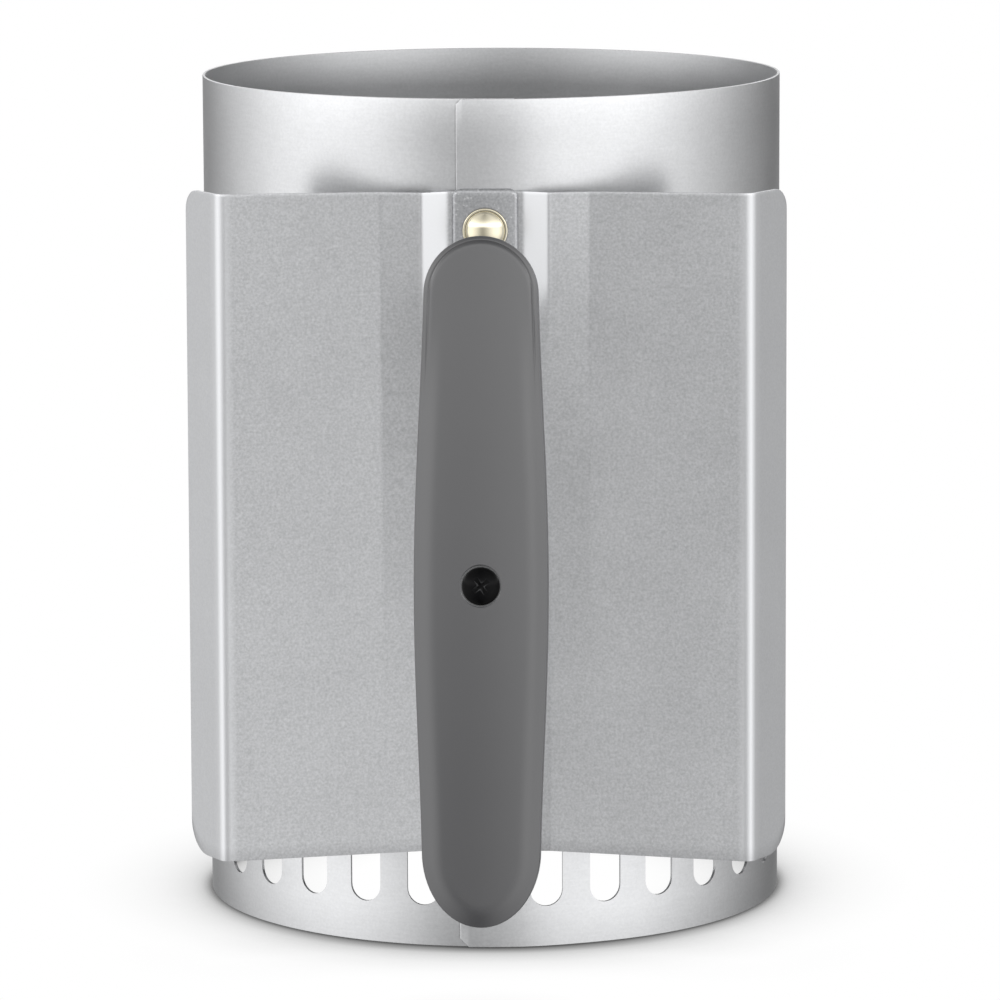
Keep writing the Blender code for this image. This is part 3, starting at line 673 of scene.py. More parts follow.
def turned_mesh(name, profile, steps=64):
    """A turned solid: its profile runs from the axis, down the outer side, back to the axis."""
    form = bmesh.new()
    spots = [form.verts.new((radius, 0, height)) for radius, height in profile]
    for first, second in zip(spots, spots[1:]):
        form.edges.new((first, second))
    geom = form.verts[:] + form.edges[:]
    bmesh.ops.spin(form, geom=geom, cent=(0, 0, 0), axis=(0, 0, 1), angle=tau, steps=steps, use_merge=True)
    bmesh.ops.remove_doubles(form, verts=form.verts, dist=0.001 * MM)
    return mesh_of(name, form)


def rod_mesh(name, radius, start, end, sides=48):
    form = bmesh.new()
    size = {"segments": sides, "radius1": radius, "radius2": radius, "depth": end - start}
    middle = Matrix.Translation((0, 0, (start + end) / 2))
    bmesh.ops.create_cone(form, cap_ends=True, matrix=middle, **size)
    return mesh_of(name, form)


def facing_handle(out, z):
    """A frame whose Z axis points out from the drum towards the handle, at this place."""
    return Matrix.Translation(point(0, out, z)) @ Matrix.Rotation(QUARTER, 4, "X")


def rivet_heights():
    for place in ("upper", "lower"):
        low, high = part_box("handle_rivet_" + place)
        yield place, (low.z + high.z) / 2


def rivet_hole_cutters():
    rod = rod_mesh("hole", RIVET_HOLE, -10 * MM, 10 * MM, 32)
    return [put("rivet_hole_" + place, rod, facing_handle(FOOT_OUT, z)) for place, z in rivet_heights()]


# ---- drum


def drum_point(turn, radius, z=0):
    """A point round the drum; turn 0 faces the handle and grows towards +X."""
    return Vector((radius * sin(turn), DRUM_Y - radius * cos(turn), z))


def sheet_radius(turn_done):
    """Radius of the rolled sheet's outer face: its last stretch lifts over the first one."""
    rise = smooth(turn_done, tau - LAP_RISE_TURN, tau)
    return DRUM_RADIUS + (SHEET + LAP_GAP) * rise


def waver(turn, z):
    """How far the wall lies inside its true circle: long soft waves left by the rolling."""
    wave = sin(5 * turn + 1.1) * cos(z / (31 * MM)) + 0.6 * sin(9 * turn - z / (47 * MM))
    return DRUM_WAVER * (1.6 + wave) / 3.2


def sheet_edge(low_inset, high_inset):
    """The sheet's cut from its foot to its top: (depth in from the outer face, height), closed."""
    low, high = low_inset, DRUM_HEIGHT - high_inset
    outline = arc((LIP, low + LIP), LIP, -QUARTER, -2 * QUARTER, 3)
    outline += [(0, z) for z in spread(low + LIP, high - LIP, DRUM_ROW)[1:-1]]
    outline += arc((LIP, high - LIP), LIP, 2 * QUARTER, QUARTER, 3)
    outline += arc((SHEET - LIP, high - LIP), LIP, QUARTER, 0, 3)
    outline += [(SHEET, z) for z in spread(high - LIP, low + LIP, DRUM_ROW)[1:-1]]
    outline += arc((SHEET - LIP, low + LIP), LIP, 0, -QUARTER, 3)
    return outline


def drum_sheet():
    """The rolled sheet, from its inner end at +X round to its outer end at -X."""
    lap = asin(LAP_HALF_WIDTH / DRUM_RADIUS)
    whole = tau + 2 * lap
    corner = LAP_CORNER_BOTTOM / DRUM_RADIUS
    lip = END_LIP / DRUM_RADIUS
    turns = spread(0, whole - corner, DRUM_STEP) + spread(whole - corner, whole - lip, corner / 8)[1:]
    turns += spread(whole - lip, whole, lip / 4)[1:]
    rings = []
    for turn in turns:
        cut = max(turn - (whole - corner), 0) / corner
        low = LAP_CORNER_BOTTOM * cut
        high = max(LAP_CORNER_TOP - LAP_CORNER_BOTTOM * (1 - cut), 0)
        drop = corner_drop((whole - turn) * DRUM_RADIUS, END_LIP)
        radius = sheet_radius(turn)
        ring = ((drop + depth * (1 - 2 * drop / SHEET), z) for depth, z in sheet_edge(low, high))
        rings.append([drum_point(lap - turn, radius - depth - waver(turn, z), z) for depth, z in ring])
    return loft("drum_wall", rings)


def radial_frame(turn, radius, z):
    """A frame on the drum: X across, Y up and Z pointing straight out of the drum."""
    outwards = Vector((sin(turn), -cos(turn), 0))
    across = Vector((cos(turn), sin(turn), 0))
    turned_frame = Matrix((across, Vector((0, 0, 1)), outwards)).transposed().to_4x4()
    return Matrix.Translation(drum_point(turn, radius, z)) @ turned_frame


def prism(name, outline, low, high):
    """A straight prism along Z with this outline."""
    return loft(name, [[Vector((x, y, z)) for x, y in outline] for z in (low, high)])


def tab_rows():
    """(turns, height of the bend, +1 or -1 for the side of the bend that the window is on)."""
    upper = LOWER_TAB_TOP + 2 * RING_WIRE + GRATE_TRAVEL + 2 * GAP
    for first, bend, side in ((0, LOWER_TAB_TOP, 1), (1, upper, -1)):
        yield [tau * (i + 0.5) / TAB_COUNT for i in range(first, TAB_COUNT, 2)], bend, side


def drum_openings():
    """The slots round the foot and the windows that the tabs were lanced from, as one cutter."""
    form = bmesh.new()
    half = SLOT_WIDTH / 2
    length = SLOT_TOP - SLOT_BOTTOM - SLOT_WIDTH
    ends = arc((0, length / 2), half, 0, pi, 14) + arc((0, -length / 2), half, pi, tau, 14)
    slot = prism("slot", ends, -CUT_REACH, CUT_REACH)
    turns = (SLOT_TURN + tau * i / SLOT_COUNT for i in range(SLOT_COUNT))
    add_copies(form, slot, (radial_frame(turn, DRUM_RADIUS, (SLOT_BOTTOM + SLOT_TOP) / 2) for turn in turns))
    for turns, bend, side in tab_rows():
        across = TAB_WIDTH / 2 + WINDOW_MARGIN
        low, high = sorted((bend - side * (TAB_BEND + SHEET / 2), bend + side * TAB_LENGTH))
        outline = rounded_oblong(across, (high - low) / 2, WINDOW_CORNER, 5)
        window = prism("window", outline, -CUT_REACH, CUT_REACH)
        add_copies(form, window, (radial_frame(turn, DRUM_RADIUS, (low + high) / 2) for turn in turns))
    return put("drum_openings", mesh_of("drum_openings", form))


def tab_mesh(side):
    """One bent tab in a radial frame whose origin is on the wall at the tab's resting face."""
    half = SHEET / 2
    path = [Vector((-half, -side * (TAB_BEND + half + 2 * MM)))]
    centre = (-half - TAB_BEND, -side * (TAB_BEND + half))
    path += [Vector(spot) for spot in arc(centre, TAB_BEND, 0, side * QUARTER, 6)]
    reaches = [0.4 * TAB_LENGTH, TAB_LENGTH - TAB_TIP]
    reaches += [TAB_LENGTH - TAB_TIP * (1 - sin(pi / 8 * i)) for i in (1, 2, 3, 4)]
    path += [Vector((-reach, -side * half)) for reach in reaches]
    rings = []
    for i, spot in enumerate(path):
        before, after = path[max(i - 1, 0)], path[min(i + 1, len(path) - 1)]
        way = (after - before).normalized()
        face = Vector((-way.y, way.x)) * half
        from_tip = TAB_LENGTH + spot.x
        across = TAB_WIDTH / 2 - min(corner_drop(from_tip, TAB_TIP), TAB_TIP * 0.98)
        upper, lower = spot + face, spot - face
        corners = ((-across, upper), (across, upper), (across, lower), (-across, lower))
        rings.append([Vector((x, place.y, place.x)) for x, place in corners])
    return loft("tab", rings)


def drum_tabs():
    """The bent tabs, each rooted in the wall beside its window."""
    form = bmesh.new()
    for turns, bend, side in tab_rows():
        places = (radial_frame(turn, DRUM_RADIUS - TAB_SINK, bend) for turn in turns)
        add_copies(form, tab_mesh(side), places)
    return put("drum_tabs", mesh_of("drum_tabs", form))


def build_drum(material):
    wall = put("wall", drum_sheet())
    boolean(wall, [drum_openings(), *rivet_hole_cutters()], "DIFFERENCE")
    boolean(wall, [drum_tabs()], "UNION")
    piece("drum_sheet", take_mesh(wall), material, "starter", ["drum_wall"], sharp=28)


# ---- heat shield


def shield_out(across, z):
    """How far out the shield's front face is, with crisp bends, at a half-distance across."""
    height = (z - SHIELD_BOTTOM) / (SHIELD_TOP - SHIELD_BOTTOM)
    ridge = RIDGE_HEIGHT * (max(z - RIDGE_START, 0) / (SHIELD_TOP - RIDGE_START)) ** RIDGE_POWER
    bend = BEND_RISE_BOTTOM + (BEND_RISE_TOP - BEND_RISE_BOTTOM) * height
    crease = CREASE_RISE_BOTTOM + (CREASE_RISE_TOP - CREASE_RISE_BOTTOM) * height
    across = abs(across)
    if across > PANEL_BEND:
        return SHIELD_OUT + bend + (crease - bend) * (across - PANEL_BEND) / (CREASE - PANEL_BEND)
    if across > POCKET_MOUTH:
        return SHIELD_OUT + ridge + (bend - ridge) * (across - POCKET_MOUTH) / (PANEL_BEND - POCKET_MOUTH)
    wall = min(max((across - POCKET_FLOOR) / (POCKET_MOUTH - POCKET_FLOOR), 0), 1)
    pocket = (1 - wall) * smooth(z, POCKET_FOOT, POCKET_FOOT + POCKET_RUNOUT)
    return SHIELD_OUT + ridge * (1 - pocket)


def soft_shield_out(across, z):
    """The same with each bend rounded over a short width."""
    spots = [across + BEND_SOFTNESS * (i / 4 - 1) for i in range(9)]
    return sum(shield_out(min(spot, CREASE), z) for spot in spots) / len(spots)


def shield_half_columns():
    """Stations across one half, from the middle out: (across, how far back, distance to free edge)."""
    fold = atan2(FLANGE_BACK, FLANGE_SIDE)
    centre = CREASE - CREASE_RADIUS * tan(fold / 2)
    columns = [(across, 0, 1) for across in spread(0, PANEL_BEND + 2 * MM, 0.4 * MM)]
    columns += [(across, 0, 1) for across in spread(PANEL_BEND + 2 * MM, centre, 1.5 * MM)[1:-1]]
    steps = 9
    for i in range(steps + 1):
        turn = fold * i / steps
        across = centre + CREASE_RADIUS * sin(turn)
        columns.append((across, CREASE_RADIUS * (1 - cos(turn)), 1))
    start_across, start_back, _ = columns[-1]
    length = hypot(CREASE + FLANGE_SIDE - start_across, FLANGE_BACK - start_back)
    corner = FLANGE_CORNER_BOTTOM
    spots = [(length - corner) * i / 3 for i in range(1, 4)]
    spots += [length - corner * (1 - sin(QUARTER * i / 12)) for i in range(1, 13)]
    for along in spots:
        share = along / length
        across = start_across + (CREASE + FLANGE_SIDE - start_across) * share
        back = start_back + (FLANGE_BACK - start_back) * share
        columns.append((across, back, length - along))
    return columns


def shield_sway(across, z):
    """Slight waves in the flat panels, none at the handle and at the folds."""
    free = smooth(abs(across), PANEL_BEND, PANEL_BEND + 12 * MM) * (1 - smooth(abs(across), 58 * MM, CREASE))
    wave = sin(across / (16 * MM) + 0.7) * sin(z / (29 * MM)) + 0.5 * sin(z / (17 * MM) - 1.3)
    return SHIELD_WAVER * free * wave


def shield_mesh():
    """The shield's front face as an open surface."""
    half = shield_half_columns()
    columns = [(-1, c) for c in reversed(half[1:])] + [(1, c) for c in half]
    heights = spread(SHIELD_BOTTOM, POCKET_FOOT - 6 * MM, 4 * MM)
    heights += spread(POCKET_FOOT - 6 * MM, SHIELD_TOP, 0.9 * MM)[1:]
    shares = [(z - SHIELD_BOTTOM) / (SHIELD_TOP - SHIELD_BOTTOM) for z in heights]
    form = bmesh.new()
    grid = []
    for side, (across, back, from_edge) in columns:
        low = SHIELD_BOTTOM + corner_drop(from_edge, FLANGE_CORNER_BOTTOM)
        high = SHIELD_TOP - corner_drop(from_edge, FLANGE_CORNER_TOP)
        column = []
        for share in shares:
            z = low + (high - low) * share
            out = soft_shield_out(min(across, CREASE), z) - back + shield_sway(side * across, z)
            column.append(form.verts.new(point(side * across, out, z)))
        grid.append(column)
    for left, right in zip(grid, grid[1:]):
        for row in range(len(left) - 1):
            form.faces.new((left[row], right[row], right[row + 1], left[row + 1]))
    mesh = bpy.data.meshes.new("heat_shield")
    form.to_mesh(mesh)
    form.free()
    return mesh


def build_shield(material):
    shield = put("shield", shield_mesh())
    solidify = shield.modifiers.new("sheet", "SOLIDIFY")
    solidify.thickness = SHEET
    solidify.offset = -1
    solidify.use_even_offset = True
    bevel_edges(shield, LIP)
    apply_modifiers(shield)
    mesh = carved(take_mesh(shield), rivet_hole_cutters())
    piece("shield_plate", mesh, material, "starter", ["heat_shield"], sharp=45)


# ---- handle strap


def grip_spot(along, off):
    """(out, z) of a point in the handle's plane, along the grip and off its parting plane."""
    out = GRIP_TOP_OUT + along * sin(GRIP_SLOPE) + off * cos(GRIP_SLOPE)
    z = GRIP_TOP - along * cos(GRIP_SLOPE) + off * sin(GRIP_SLOPE)
    return Vector((out, z))


def rounded_path(corners, radii, steps):
    """A path through the corners, each inner one rounded to its radius."""
    path = [corners[0]]
    for before, corner, after, radius in zip(corners, corners[1:], corners[2:], radii):
        back = (before - corner).normalized()
        ahead = (after - corner).normalized()
        half = back.angle(ahead) / 2
        turn = pi - 2 * half
        centre = corner + (back + ahead).normalized() * (radius / sin(half))
        first = corner + back * (radius / tan(half)) - centre
        last = corner + ahead * (radius / tan(half)) - centre
        for i in range(steps + 1):
            done = turn * i / steps
            path.append(centre + (first * sin(turn - done) + last * sin(done)) / sin(turn))
    return path + [corners[-1]]


def strap_path(steps):
    """The strap's middle line as (out, z), with this many steps round each bend."""
    corners = [
        Vector((FOOT_OUT, UPPER_FOOT_TOP)),
        Vector((FOOT_OUT, UPPER_ARM_ROOT)),
        grip_spot(SPINE_TOP, 0),
        grip_spot(SPINE_BOTTOM, 0),
        Vector((FOOT_OUT, LOWER_ARM_ROOT)),
        Vector((FOOT_OUT, LOWER_FOOT_END)),
    ]
    return rounded_path(corners, (FOOT_BEND, SPINE_BEND, SPINE_BEND, FOOT_BEND), steps)


def strap_end_stations():
    """(distance from a foot's end, half width, half thickness) over its rounded corners."""
    stations = []
    for i in range(11):
        from_end = STRAP_CORNER * (1 - cos(QUARTER * i / 10))
        half_width = STRAP_WIDTH / 2 - corner_drop(from_end, STRAP_CORNER)
        half_thick = STRAP_THICK / 2 - 0.7 * corner_drop(from_end, STRAP_EDGE)
        stations.append((from_end, half_width, half_thick))
    return stations


def ring_at(spot, way, half_width, half_thick):
    """The strap's cut at this spot of its path, square to the way it runs."""
    side = Vector((-way.y, way.x))
    ring = []
    for across, off in rounded_oblong(half_width, half_thick, min(STRAP_EDGE, half_thick * 0.98), 4):
        place = spot + side * off
        ring.append(point(across, place.x, place.y))
    return ring


def strap_mesh():
    path = strap_path(12)
    down = Vector((0, -1))
    rings = []
    for from_end, half_width, half_thick in strap_end_stations():
        rings.append(ring_at(path[0] + down * from_end, down, half_width, half_thick))
    for before, spot, after in zip(path, path[1:], path[2:]):
        way = (after - spot).normalized() + (spot - before).normalized()
        rings.append(ring_at(spot, way.normalized(), STRAP_WIDTH / 2, STRAP_THICK / 2))
    for from_end, half_width, half_thick in reversed(strap_end_stations()):
        rings.append(ring_at(path[-1] - down * from_end, down, half_width, half_thick))
    return loft("handle_strap", rings)


def build_strap(material):
    mesh = carved(strap_mesh(), [*rivet_hole_cutters(), screw_hole_cutter()])
    piece("strap_bar", mesh, material, "starter", ["handle_strap"], sharp=35)


# ---- rivets


def rivet_profile():
    """From the top of the dome to the end of the tail; height 0 is the head's underside."""
    clear = GAP + STRAP_THICK + GAP + SHEET + GAP + SHEET + LAP_GAP + SHEET + GAP
    dome = [
        (RIVET_HEAD * sin(a), RIVET_RING_THICK + RIVET_DOME * cos(a) ** RIVET_DOME_POWER)
        for a in (QUARTER * i / 20 for i in range(20))
    ]
    groove = RIVET_RING_THICK - RIVET_GROOVE
    dome += [(RIVET_HEAD, groove), (RIVET_HEAD + 0.1 * MM, groove)]
    edge = RIVET_RING_THICK / 2
    ring = [(RIVET_HEAD + 0.15 * MM, RIVET_RING_THICK - 0.05 * MM)]
    ring += arc((RIVET_RING - edge, edge), edge, QUARTER, -QUARTER, 8)
    shank = [(RIVET_SHANK, 0), (RIVET_SHANK, -clear)]
    lip = RIVET_TAIL_THICK / 2
    end = -clear - RIVET_TAIL_THICK
    tail = [(RIVET_TAIL, -clear)] + arc((RIVET_TAIL - lip, end + lip), lip, 0, -QUARTER, 6)
    tail += [(1.4 * MM, end), (1.1 * MM, end + RIVET_DIMPLE), (0, end + RIVET_DIMPLE)]
    return dome + ring + shank + tail


def build_rivets(material):
    under_head = FOOT_OUT + STRAP_THICK / 2 + GAP
    for place, z in rivet_heights():
        node = "handle_rivet_" + place
        mesh = turned_mesh(node, rivet_profile())
        head = facing_handle(under_head, z)
        piece("rivet_" + place, mesh, material, "starter", [node], head)


# ---- grip


def grip_frame(along, off=0):
    """A frame in the grip: X across, Y up along it, and Z off its parting plane towards the front."""
    out, z = grip_spot(along, off)
    return Matrix.Translation(point(0, out, z)) @ Matrix.Rotation(QUARTER - GRIP_SLOPE, 4, "X")


def screw_hole_cutter():
    rod = rod_mesh("screw_hole", SCREW_HOLE, -2 * GRIP_DEPTH, 2 * GRIP_DEPTH, 32)
    return put("screw_hole", rod, grip_frame(SCREW_ALONG))


def grip_half_width(along):
    """Half the grip's width, with a round end at the top and at the bottom."""
    if along < GRIP_WIDEST:
        from_end, end, run = along, GRIP_END_TOP, GRIP_WIDEST
    else:
        from_end, end, run = GRIP_LENGTH - along, GRIP_END_BOTTOM, GRIP_LENGTH - GRIP_WIDEST
    length, width = end
    if from_end < length:
        return width * sqrt(max(from_end * (2 * length - from_end), 0)) / length
    share = (from_end - length) / (run - length)
    swell = (sin(QUARTER * share) + (1 - cos(pi * share)) / 2) / 2
    return width + (GRIP_HALF_WIDTH - width) * swell


def grip_outline():
    """One side of the grip seen from the front, from its top to its foot: (across, along)."""
    shares = [1 - cos(QUARTER * i / 18) for i in range(18)]
    top = [GRIP_END_TOP[0] * share for share in shares]
    foot = [GRIP_LENGTH - GRIP_END_BOTTOM[0] * share for share in shares]
    between = spread(GRIP_END_TOP[0], GRIP_LENGTH - GRIP_END_BOTTOM[0], 4 * MM)
    return [Vector((grip_half_width(along), along)) for along in top + between + foot[::-1]]


def grip_loop():
    """The whole outline as a closed loop, with the inward direction at each point."""
    right = grip_outline()
    loop = right + [Vector((-spot.x, spot.y)) for spot in right[-2:0:-1]]
    inwards = []
    for i in range(len(loop)):
        way = (loop[(i + 1) % len(loop)] - loop[i - 1]).normalized()
        inwards.append(Vector((-way.y, way.x)))
    return loop, inwards


def bevelled_rise(inset):
    """Height of a broad bevel that turns softly into the face, from 0 at the outline to 1."""
    side, bevel, soft = 0.3 * MM, 2.8 * MM, 5.6 * MM
    slope = 0.5 / GRIP_DEPTH
    low = 1 - slope * (bevel - side) - slope * (soft - bevel) / 2
    if inset < side:
        return low * sqrt(max(1 - (1 - inset / side) ** 2, 0))
    if inset < bevel:
        return low + slope * (inset - side)
    left = max(soft - inset, 0)
    return 1 - slope * left * left / (soft - bevel) / 2


def rounded_rise(inset, width):
    """Height of a broadly rounded edge, a little squarer than a circle, from 0 at the outline to 1."""
    power = 2.1
    return (1 - (1 - min(inset / width, 1)) ** power) ** (1 / power)


def chamfered_rise(inset):
    """Height of a crisp edge: a steep side, a straight chamfer, and a soft step onto the face."""
    side, chamfer, soft = 0.35 * MM, 1.6 * MM, 2.6 * MM
    low, high = 1 - 0.7 * MM / GRIP_DEPTH, 1 - 0.16 * MM / GRIP_DEPTH
    if inset < side:
        return low * sqrt(max(1 - (1 - inset / side) ** 2, 0))
    if inset < chamfer:
        return low + (high - low) * (inset - side) / (chamfer - side)
    return high + (1 - high) * smooth(inset, chamfer, soft)


def back_rounding(along):
    """How far in the back half's rounding reaches: less towards the grip's ends."""
    at_end, further_in = 9 * MM, 15 * MM
    return at_end + (further_in - at_end) * smooth(min(along, GRIP_LENGTH - along), 0, 20 * MM)


def front_groove(inset, along):
    """A fine line moulded round the top of the front face, fading down the sides."""
    depth = GROOVE_DEPTH * (1 - smooth(along, *CRISP_TO))
    return depth * exp(-(((inset - GROOVE_INSET) / GROOVE_WIDTH) ** 2))


def grip_bow(along):
    """How far the grip's faces fall back towards its ends."""
    share = (along - GRIP_LENGTH / 2) / (GRIP_LENGTH / 2)
    return GRIP_BOW * share * share


def grip_height(inset, along, across, front):
    """How far a half stands off the parting plane at this distance in from its outline."""
    rise = bevelled_rise(inset) if front else rounded_rise(inset, back_rounding(along))
    if front:
        crisp = 1 - smooth(along, *CRISP_TO)
        rise += (chamfered_rise(inset) - rise) * crisp
    crown = (FRONT_CROWN if front else BACK_CROWN) * (across / GRIP_HALF_WIDTH) ** 2
    height = (GRIP_DEPTH - crown - grip_bow(along)) * rise
    return height - front_groove(inset, along) if front else height


def grip_surface(place, inset, front):
    """A point of a half in the grip's frame, at this place of its outline's plane and this far in."""
    base = GAP / 2 + GRIP_PARTING_CHAMFER
    height = base + (1 - base / GRIP_DEPTH) * grip_height(inset, place.y, place.x, front)
    return Vector((place.x, -place.y, height if front else -height))


def grip_half(name, front):
    """Contours of the outline, stepping in and up from the parting plane to the middle line."""
    loop, inwards = grip_loop()
    foot = GAP / 2 if front else -GAP / 2
    rings = [[]]
    for spot, way in zip(loop, inwards):
        place = spot + way * GRIP_PARTING_CHAMFER
        rings[0].append(Vector((place.x, -place.y, foot)))
    for inset in (step * MM for step in CONTOURS):
        rings.append([grip_surface(spot + way * inset, inset, front) for spot, way in zip(loop, inwards)])
    last = CONTOURS[-1] * MM
    ends = (GRIP_END_TOP[0], GRIP_LENGTH - GRIP_END_BOTTOM[0])
    for share in (0.25, 0.5, 0.75, 1.0):
        ring = []
        for spot, way in zip(loop, inwards):
            start = spot + way * last
            middle = Vector((0, min(max(spot.y, ends[0]), ends[1])))
            inset = last + (middle - start).length * share
            ring.append(grip_surface(start.lerp(middle, share), inset, front))
        rings.append(ring)
    frame_at_top = grip_frame(0)
    return loft(name, [[frame_at_top @ spot for spot in ring] for ring in rings], caps=(0,), merge=True)


def strap_space():
    """The room for the strap inside the grip."""
    path = strap_path(6)
    across = STRAP_WIDTH / 2 + SPINE_CLEARANCE
    half = STRAP_THICK / 2 + SPINE_CLEARANCE
    rings = []
    for i, spot in enumerate(path):
        way = (path[min(i + 1, len(path) - 1)] - path[max(i - 1, 0)]).normalized()
        side = Vector((-way.y, way.x)) * half
        near, far = spot + side, spot - side
        corners = ((-across, near), (across, near), (across, far), (-across, far))
        rings.append([point(x, place.x, place.y) for x, place in corners])
    return put("strap_space", loft("strap_space", rings))


def counterbore():
    """The round recess for the screw's head, with a softened mouth."""
    face, above = GRIP_DEPTH, 3 * MM
    mouth = COUNTERBORE + COUNTERBORE_MOUTH
    profile = [(0, face + above), (mouth + above, face + above), (mouth, face)]
    profile += [(COUNTERBORE + 0.1 * MM, face - 0.25 * MM), (COUNTERBORE, face - 0.55 * MM)]
    profile += [(COUNTERBORE, COUNTERBORE_FLOOR), (0, COUNTERBORE_FLOOR)]
    return put("counterbore", turned_mesh("counterbore", profile), grip_frame(SCREW_ALONG))


def nut_pocket():
    rod = rod_mesh("nut_pocket", NUT_POCKET, -2 * GRIP_DEPTH, -NUT_SEAT, 6)
    return put("nut_pocket", rod, grip_frame(SCREW_ALONG))


def build_grip(material):
    for name, front, pocket in (("grip_front", True, counterbore), ("grip_back", False, nut_pocket)):
        mesh = carved(grip_half(name, front), [strap_space(), screw_hole_cutter(), pocket()])
        piece(name + "_shell", mesh, material, "starter", [name], sharp=32)


def cross_recess():
    """The two bars of a tapered cross, on the grip at the screw."""
    top = COUNTERBORE_FLOOR + GAP + SCREW_HEAD_HEIGHT
    for i in range(2):
        rings = []
        for height, length, width in CROSS_LEVELS:
            corners = ((-length, -width), (length, -width), (length, width), (-length, width))
            rings.append([Vector((x * MM, y * MM, top + height * MM)) for x, y in corners])
        bar = loft("bar", rings)
        bar.transform(Matrix.Rotation(CROSS_TURN + i * QUARTER, 4, "Z"))
        yield put(f"cross_bar_{i}", bar, grip_frame(SCREW_ALONG))


def build_screw(material):
    seat = COUNTERBORE_FLOOR + GAP
    end = -NUT_SEAT - NUT_THICK - 2 * GAP
    crown = [
        (SCREW_HEAD * sin(a), seat + SCREW_RIM + (SCREW_HEAD_HEIGHT - SCREW_RIM) * cos(a))
        for a in (QUARTER * i / 14 for i in range(15))
    ]
    thread = []
    z = seat - THREAD_START
    while z > end + THREAD_PITCH:
        thread += [(SCREW_SHANK, z), (SCREW_SHANK - THREAD_DEPTH, z - THREAD_PITCH / 2)]
        z -= THREAD_PITCH
    profile = crown + [(SCREW_HEAD - 0.15 * MM, seat), (SCREW_SHANK, seat)] + thread
    profile += [(SCREW_SHANK - 0.3 * MM, end), (0, end)]
    screw = put("screw", turned_mesh("grip_screw", profile, 48), grip_frame(SCREW_ALONG))
    boolean(screw, list(cross_recess()), "DIFFERENCE")
    bevel_edges(screw, 0.09 * MM)
    apply_modifiers(screw)
    place = grip_frame(SCREW_ALONG)
    piece("screw_head", take_mesh(screw), material, "starter", ["grip_screw"], place)


def build_nut(material):
    low = -NUT_SEAT - GAP - NUT_THICK
    place = grip_frame(SCREW_ALONG)
    mesh = carved(rod_mesh("grip_nut", NUT_RADIUS, low, low + NUT_THICK, 6), [screw_hole_cutter()], place)
    ring = turned_mesh("chamfer", chamfer_profile(low), 48)
    mesh = carved(mesh, [put("nut_chamfer", ring, place)], place)
    piece("nut_hex", mesh, material, "starter", ["grip_nut"], place)


def chamfer_profile(low):
    """A ring whose inner cone takes the corners off the nut's outer face."""
    inner = NUT_RADIUS * 0.84
    outer = NUT_RADIUS * 1.6
    under = low - 0.5 * MM
    cone = [(inner, low), (outer, low + (outer - inner) * 0.55)]
    return [(inner, under), *cone, (outer, under), (inner, under)]


# ---- grate


def spoke_height(radius):
    """Height of the spokes' centre line at this radius."""
    on_outer_ring = RING_WIRE + (RING_WIRE + SPOKE_WIRE + GAP) / cos(GRATE_SLOPE)
    return GRATE_FOOT + on_outer_ring + (OUTER_RING - radius) * tan(GRATE_SLOPE)


def ring_height(radius, wire):
    """Height of a ring's centre line, under the spokes."""
    return spoke_height(radius) - (wire + SPOKE_WIRE + GAP) / cos(GRATE_SLOPE)


def ring_mesh(name, radius, wire):
    """A round wire bent into a ring, with the bead of its butt weld at the back."""
    rings = []
    count = 160
    for i in range(count):
        turn = tau * i / count
        from_weld = abs(remainder(turn - RING_WELD_TURN, tau)) * radius
        swell = 1 + RING_WELD_SWELL * exp(-((from_weld / RING_WELD_LENGTH) ** 2))
        outwards = drum_point(turn, 1) - drum_point(turn, 0)
        centre = drum_point(turn, radius, ring_height(radius, wire))
        rings.append(round_section(centre, outwards, Vector((0, 0, 1)), wire * swell, 16))
    return loft(name, rings + [rings[0]], caps=())


def spoke_mesh(inner):
    """A straight wire over the rings on the handle's side, with rounded ends."""
    start, end = OUTER_RING + SPOKE_OVERRUN, inner - SPOKE_OVERRUN
    first = drum_point(0, start, spoke_height(start))
    last = drum_point(0, end, spoke_height(end))
    way = (last - first).normalized()
    across = Vector((1, 0, 0))
    up = across.cross(way)
    length = (last - first).length
    bead = SPOKE_WIRE * 0.35
    stations = [bead * (1 - cos(QUARTER * i / 3)) for i in range(3)]
    stations += spread(bead, length - bead, 3 * MM)
    stations += [length - bead * (1 - cos(QUARTER * i / 3)) for i in (2, 1, 0)]
    rings = []
    for s in stations:
        from_end = min(s, length - s)
        radius = SPOKE_WIRE if from_end >= bead else SPOKE_WIRE - corner_drop(from_end, bead) * 0.98
        centre = first + way * s
        rings.append(round_section(centre, across, up, radius, 14))
    return loft("spoke", rings)


def weld_mesh(radius, wire):
    """A small flattened bead between a ring and the spoke over it."""
    form = bmesh.new()
    bmesh.ops.create_uvsphere(form, u_segments=14, v_segments=8, radius=1)
    mesh = mesh_of("weld", form)
    middle = (ring_height(radius, wire) + wire + spoke_height(radius) - SPOKE_WIRE) / 2
    place = Matrix.Translation(drum_point(0, radius - 0.6 * MM, middle))
    mesh.transform(place @ Matrix.Rotation(GRATE_SLOPE, 4, "X") @ Matrix.Diagonal((*BEAD_SIZE, 1)))
    return mesh


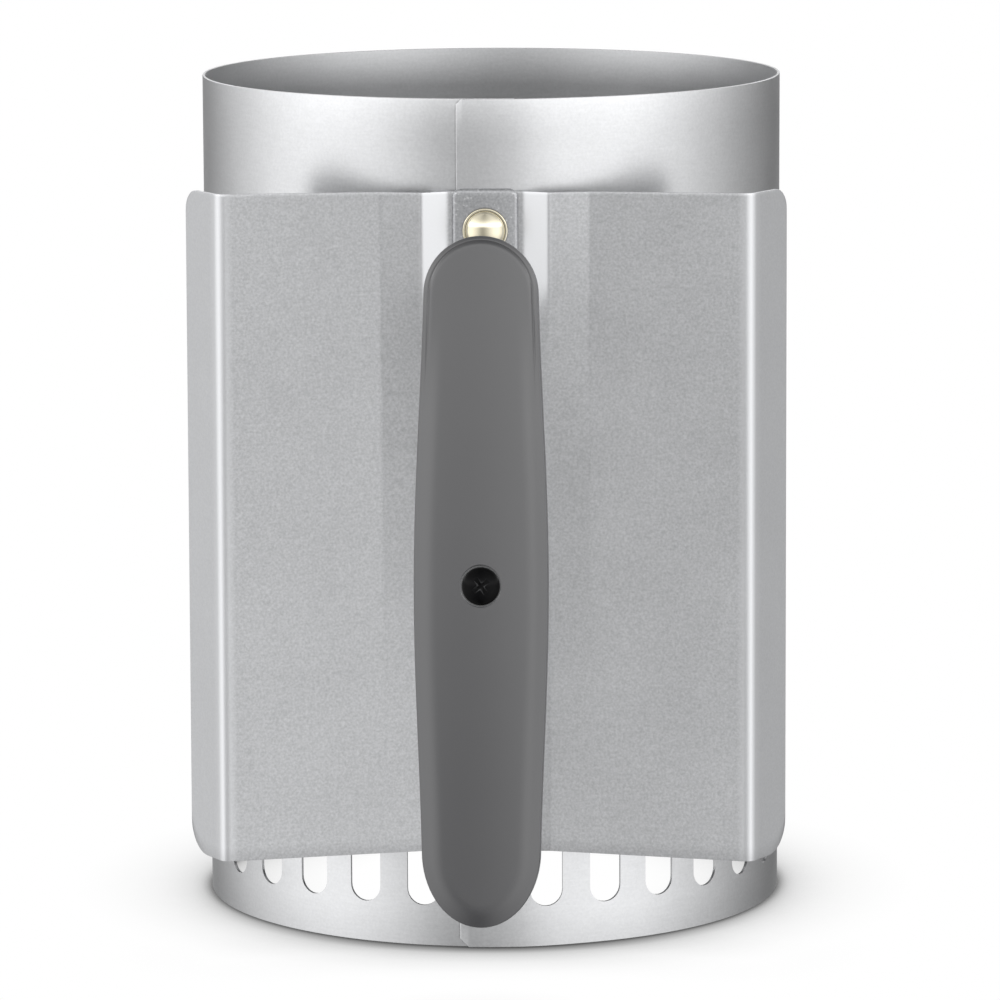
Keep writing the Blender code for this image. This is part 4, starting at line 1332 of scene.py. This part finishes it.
def spoke_turn(i):
    """Takes a spoke on the handle's side to its place round the drum's axis."""
    centre = Vector((0, DRUM_Y, 0))
    turn = Matrix.Rotation(tau * (i + 0.5) / SPOKE_COUNT, 4, "Z")
    return Matrix.Translation(centre) @ turn @ Matrix.Translation(-centre)


def build_grate(material):
    rings = (
        ("outer", OUTER_RING, RING_WIRE),
        ("middle", MIDDLE_RING, SPOKE_WIRE),
        ("top", TOP_RING, SPOKE_WIRE),
    )
    for name, radius, wire in rings:
        node = "grate_ring_" + name
        mesh = ring_mesh(node, radius, wire)
        piece("ring_" + name, mesh, material, "grate", [node], sharp=60)
    kinds = (spoke_mesh(TOP_RING), spoke_mesh(MIDDLE_RING))
    for i in range(SPOKE_COUNT):
        node = f"grate_spoke_{i + 1:02d}"
        mesh = kinds[i % 2].copy()
        mesh.transform(spoke_turn(i))
        piece(f"spoke_{i + 1:02d}", mesh, material, "grate", [node], sharp=60)
    build_welds(material, rings)


def build_welds(material, rings):
    """All the beads between rings and spokes, as one piece."""
    form = bmesh.new()
    for name, radius, wire in rings:
        spokes = range(0, SPOKE_COUNT, 2 if name == "top" else 1)
        add_copies(form, weld_mesh(radius, wire), (spoke_turn(i) for i in spokes))
    obj = put("grate_welds", mesh_of("welds", form))
    obj.data.materials.append(material)
    shade_smooth(obj.data, 60)
    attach(obj, "grate")


# ---- the whole scene


def build():
    scene.view_settings.view_transform = "Standard"
    make_camera()
    make_world()
    make_floor()
    build_drum(sheet_steel("drum_steel", (0.635, 0.64, 0.65), 0.33, 1.0, 1300, 0.05, 0.05, inside=True))
    build_shield(sheet_steel("shield_steel", (0.48, 0.485, 0.495), 0.42, 0.82, 1500, 0.15, 0.14))
    build_strap(strap_steel())
    build_rivets(rivet_brass())
    build_grip(grip_plastic())
    build_screw(screw_black())
    build_nut(bright_steel("nut_zinc", (0.66, 0.67, 0.68), 0.35))
    build_grate(bright_steel("grate_wire", (0.55, 0.56, 0.57), 0.36))
    for name in ("grip_front_shell", "grip_back_shell", "strap_bar", "screw_head", "nut_hex"):
        bpy.data.objects[name].visible_glossy = False


build()
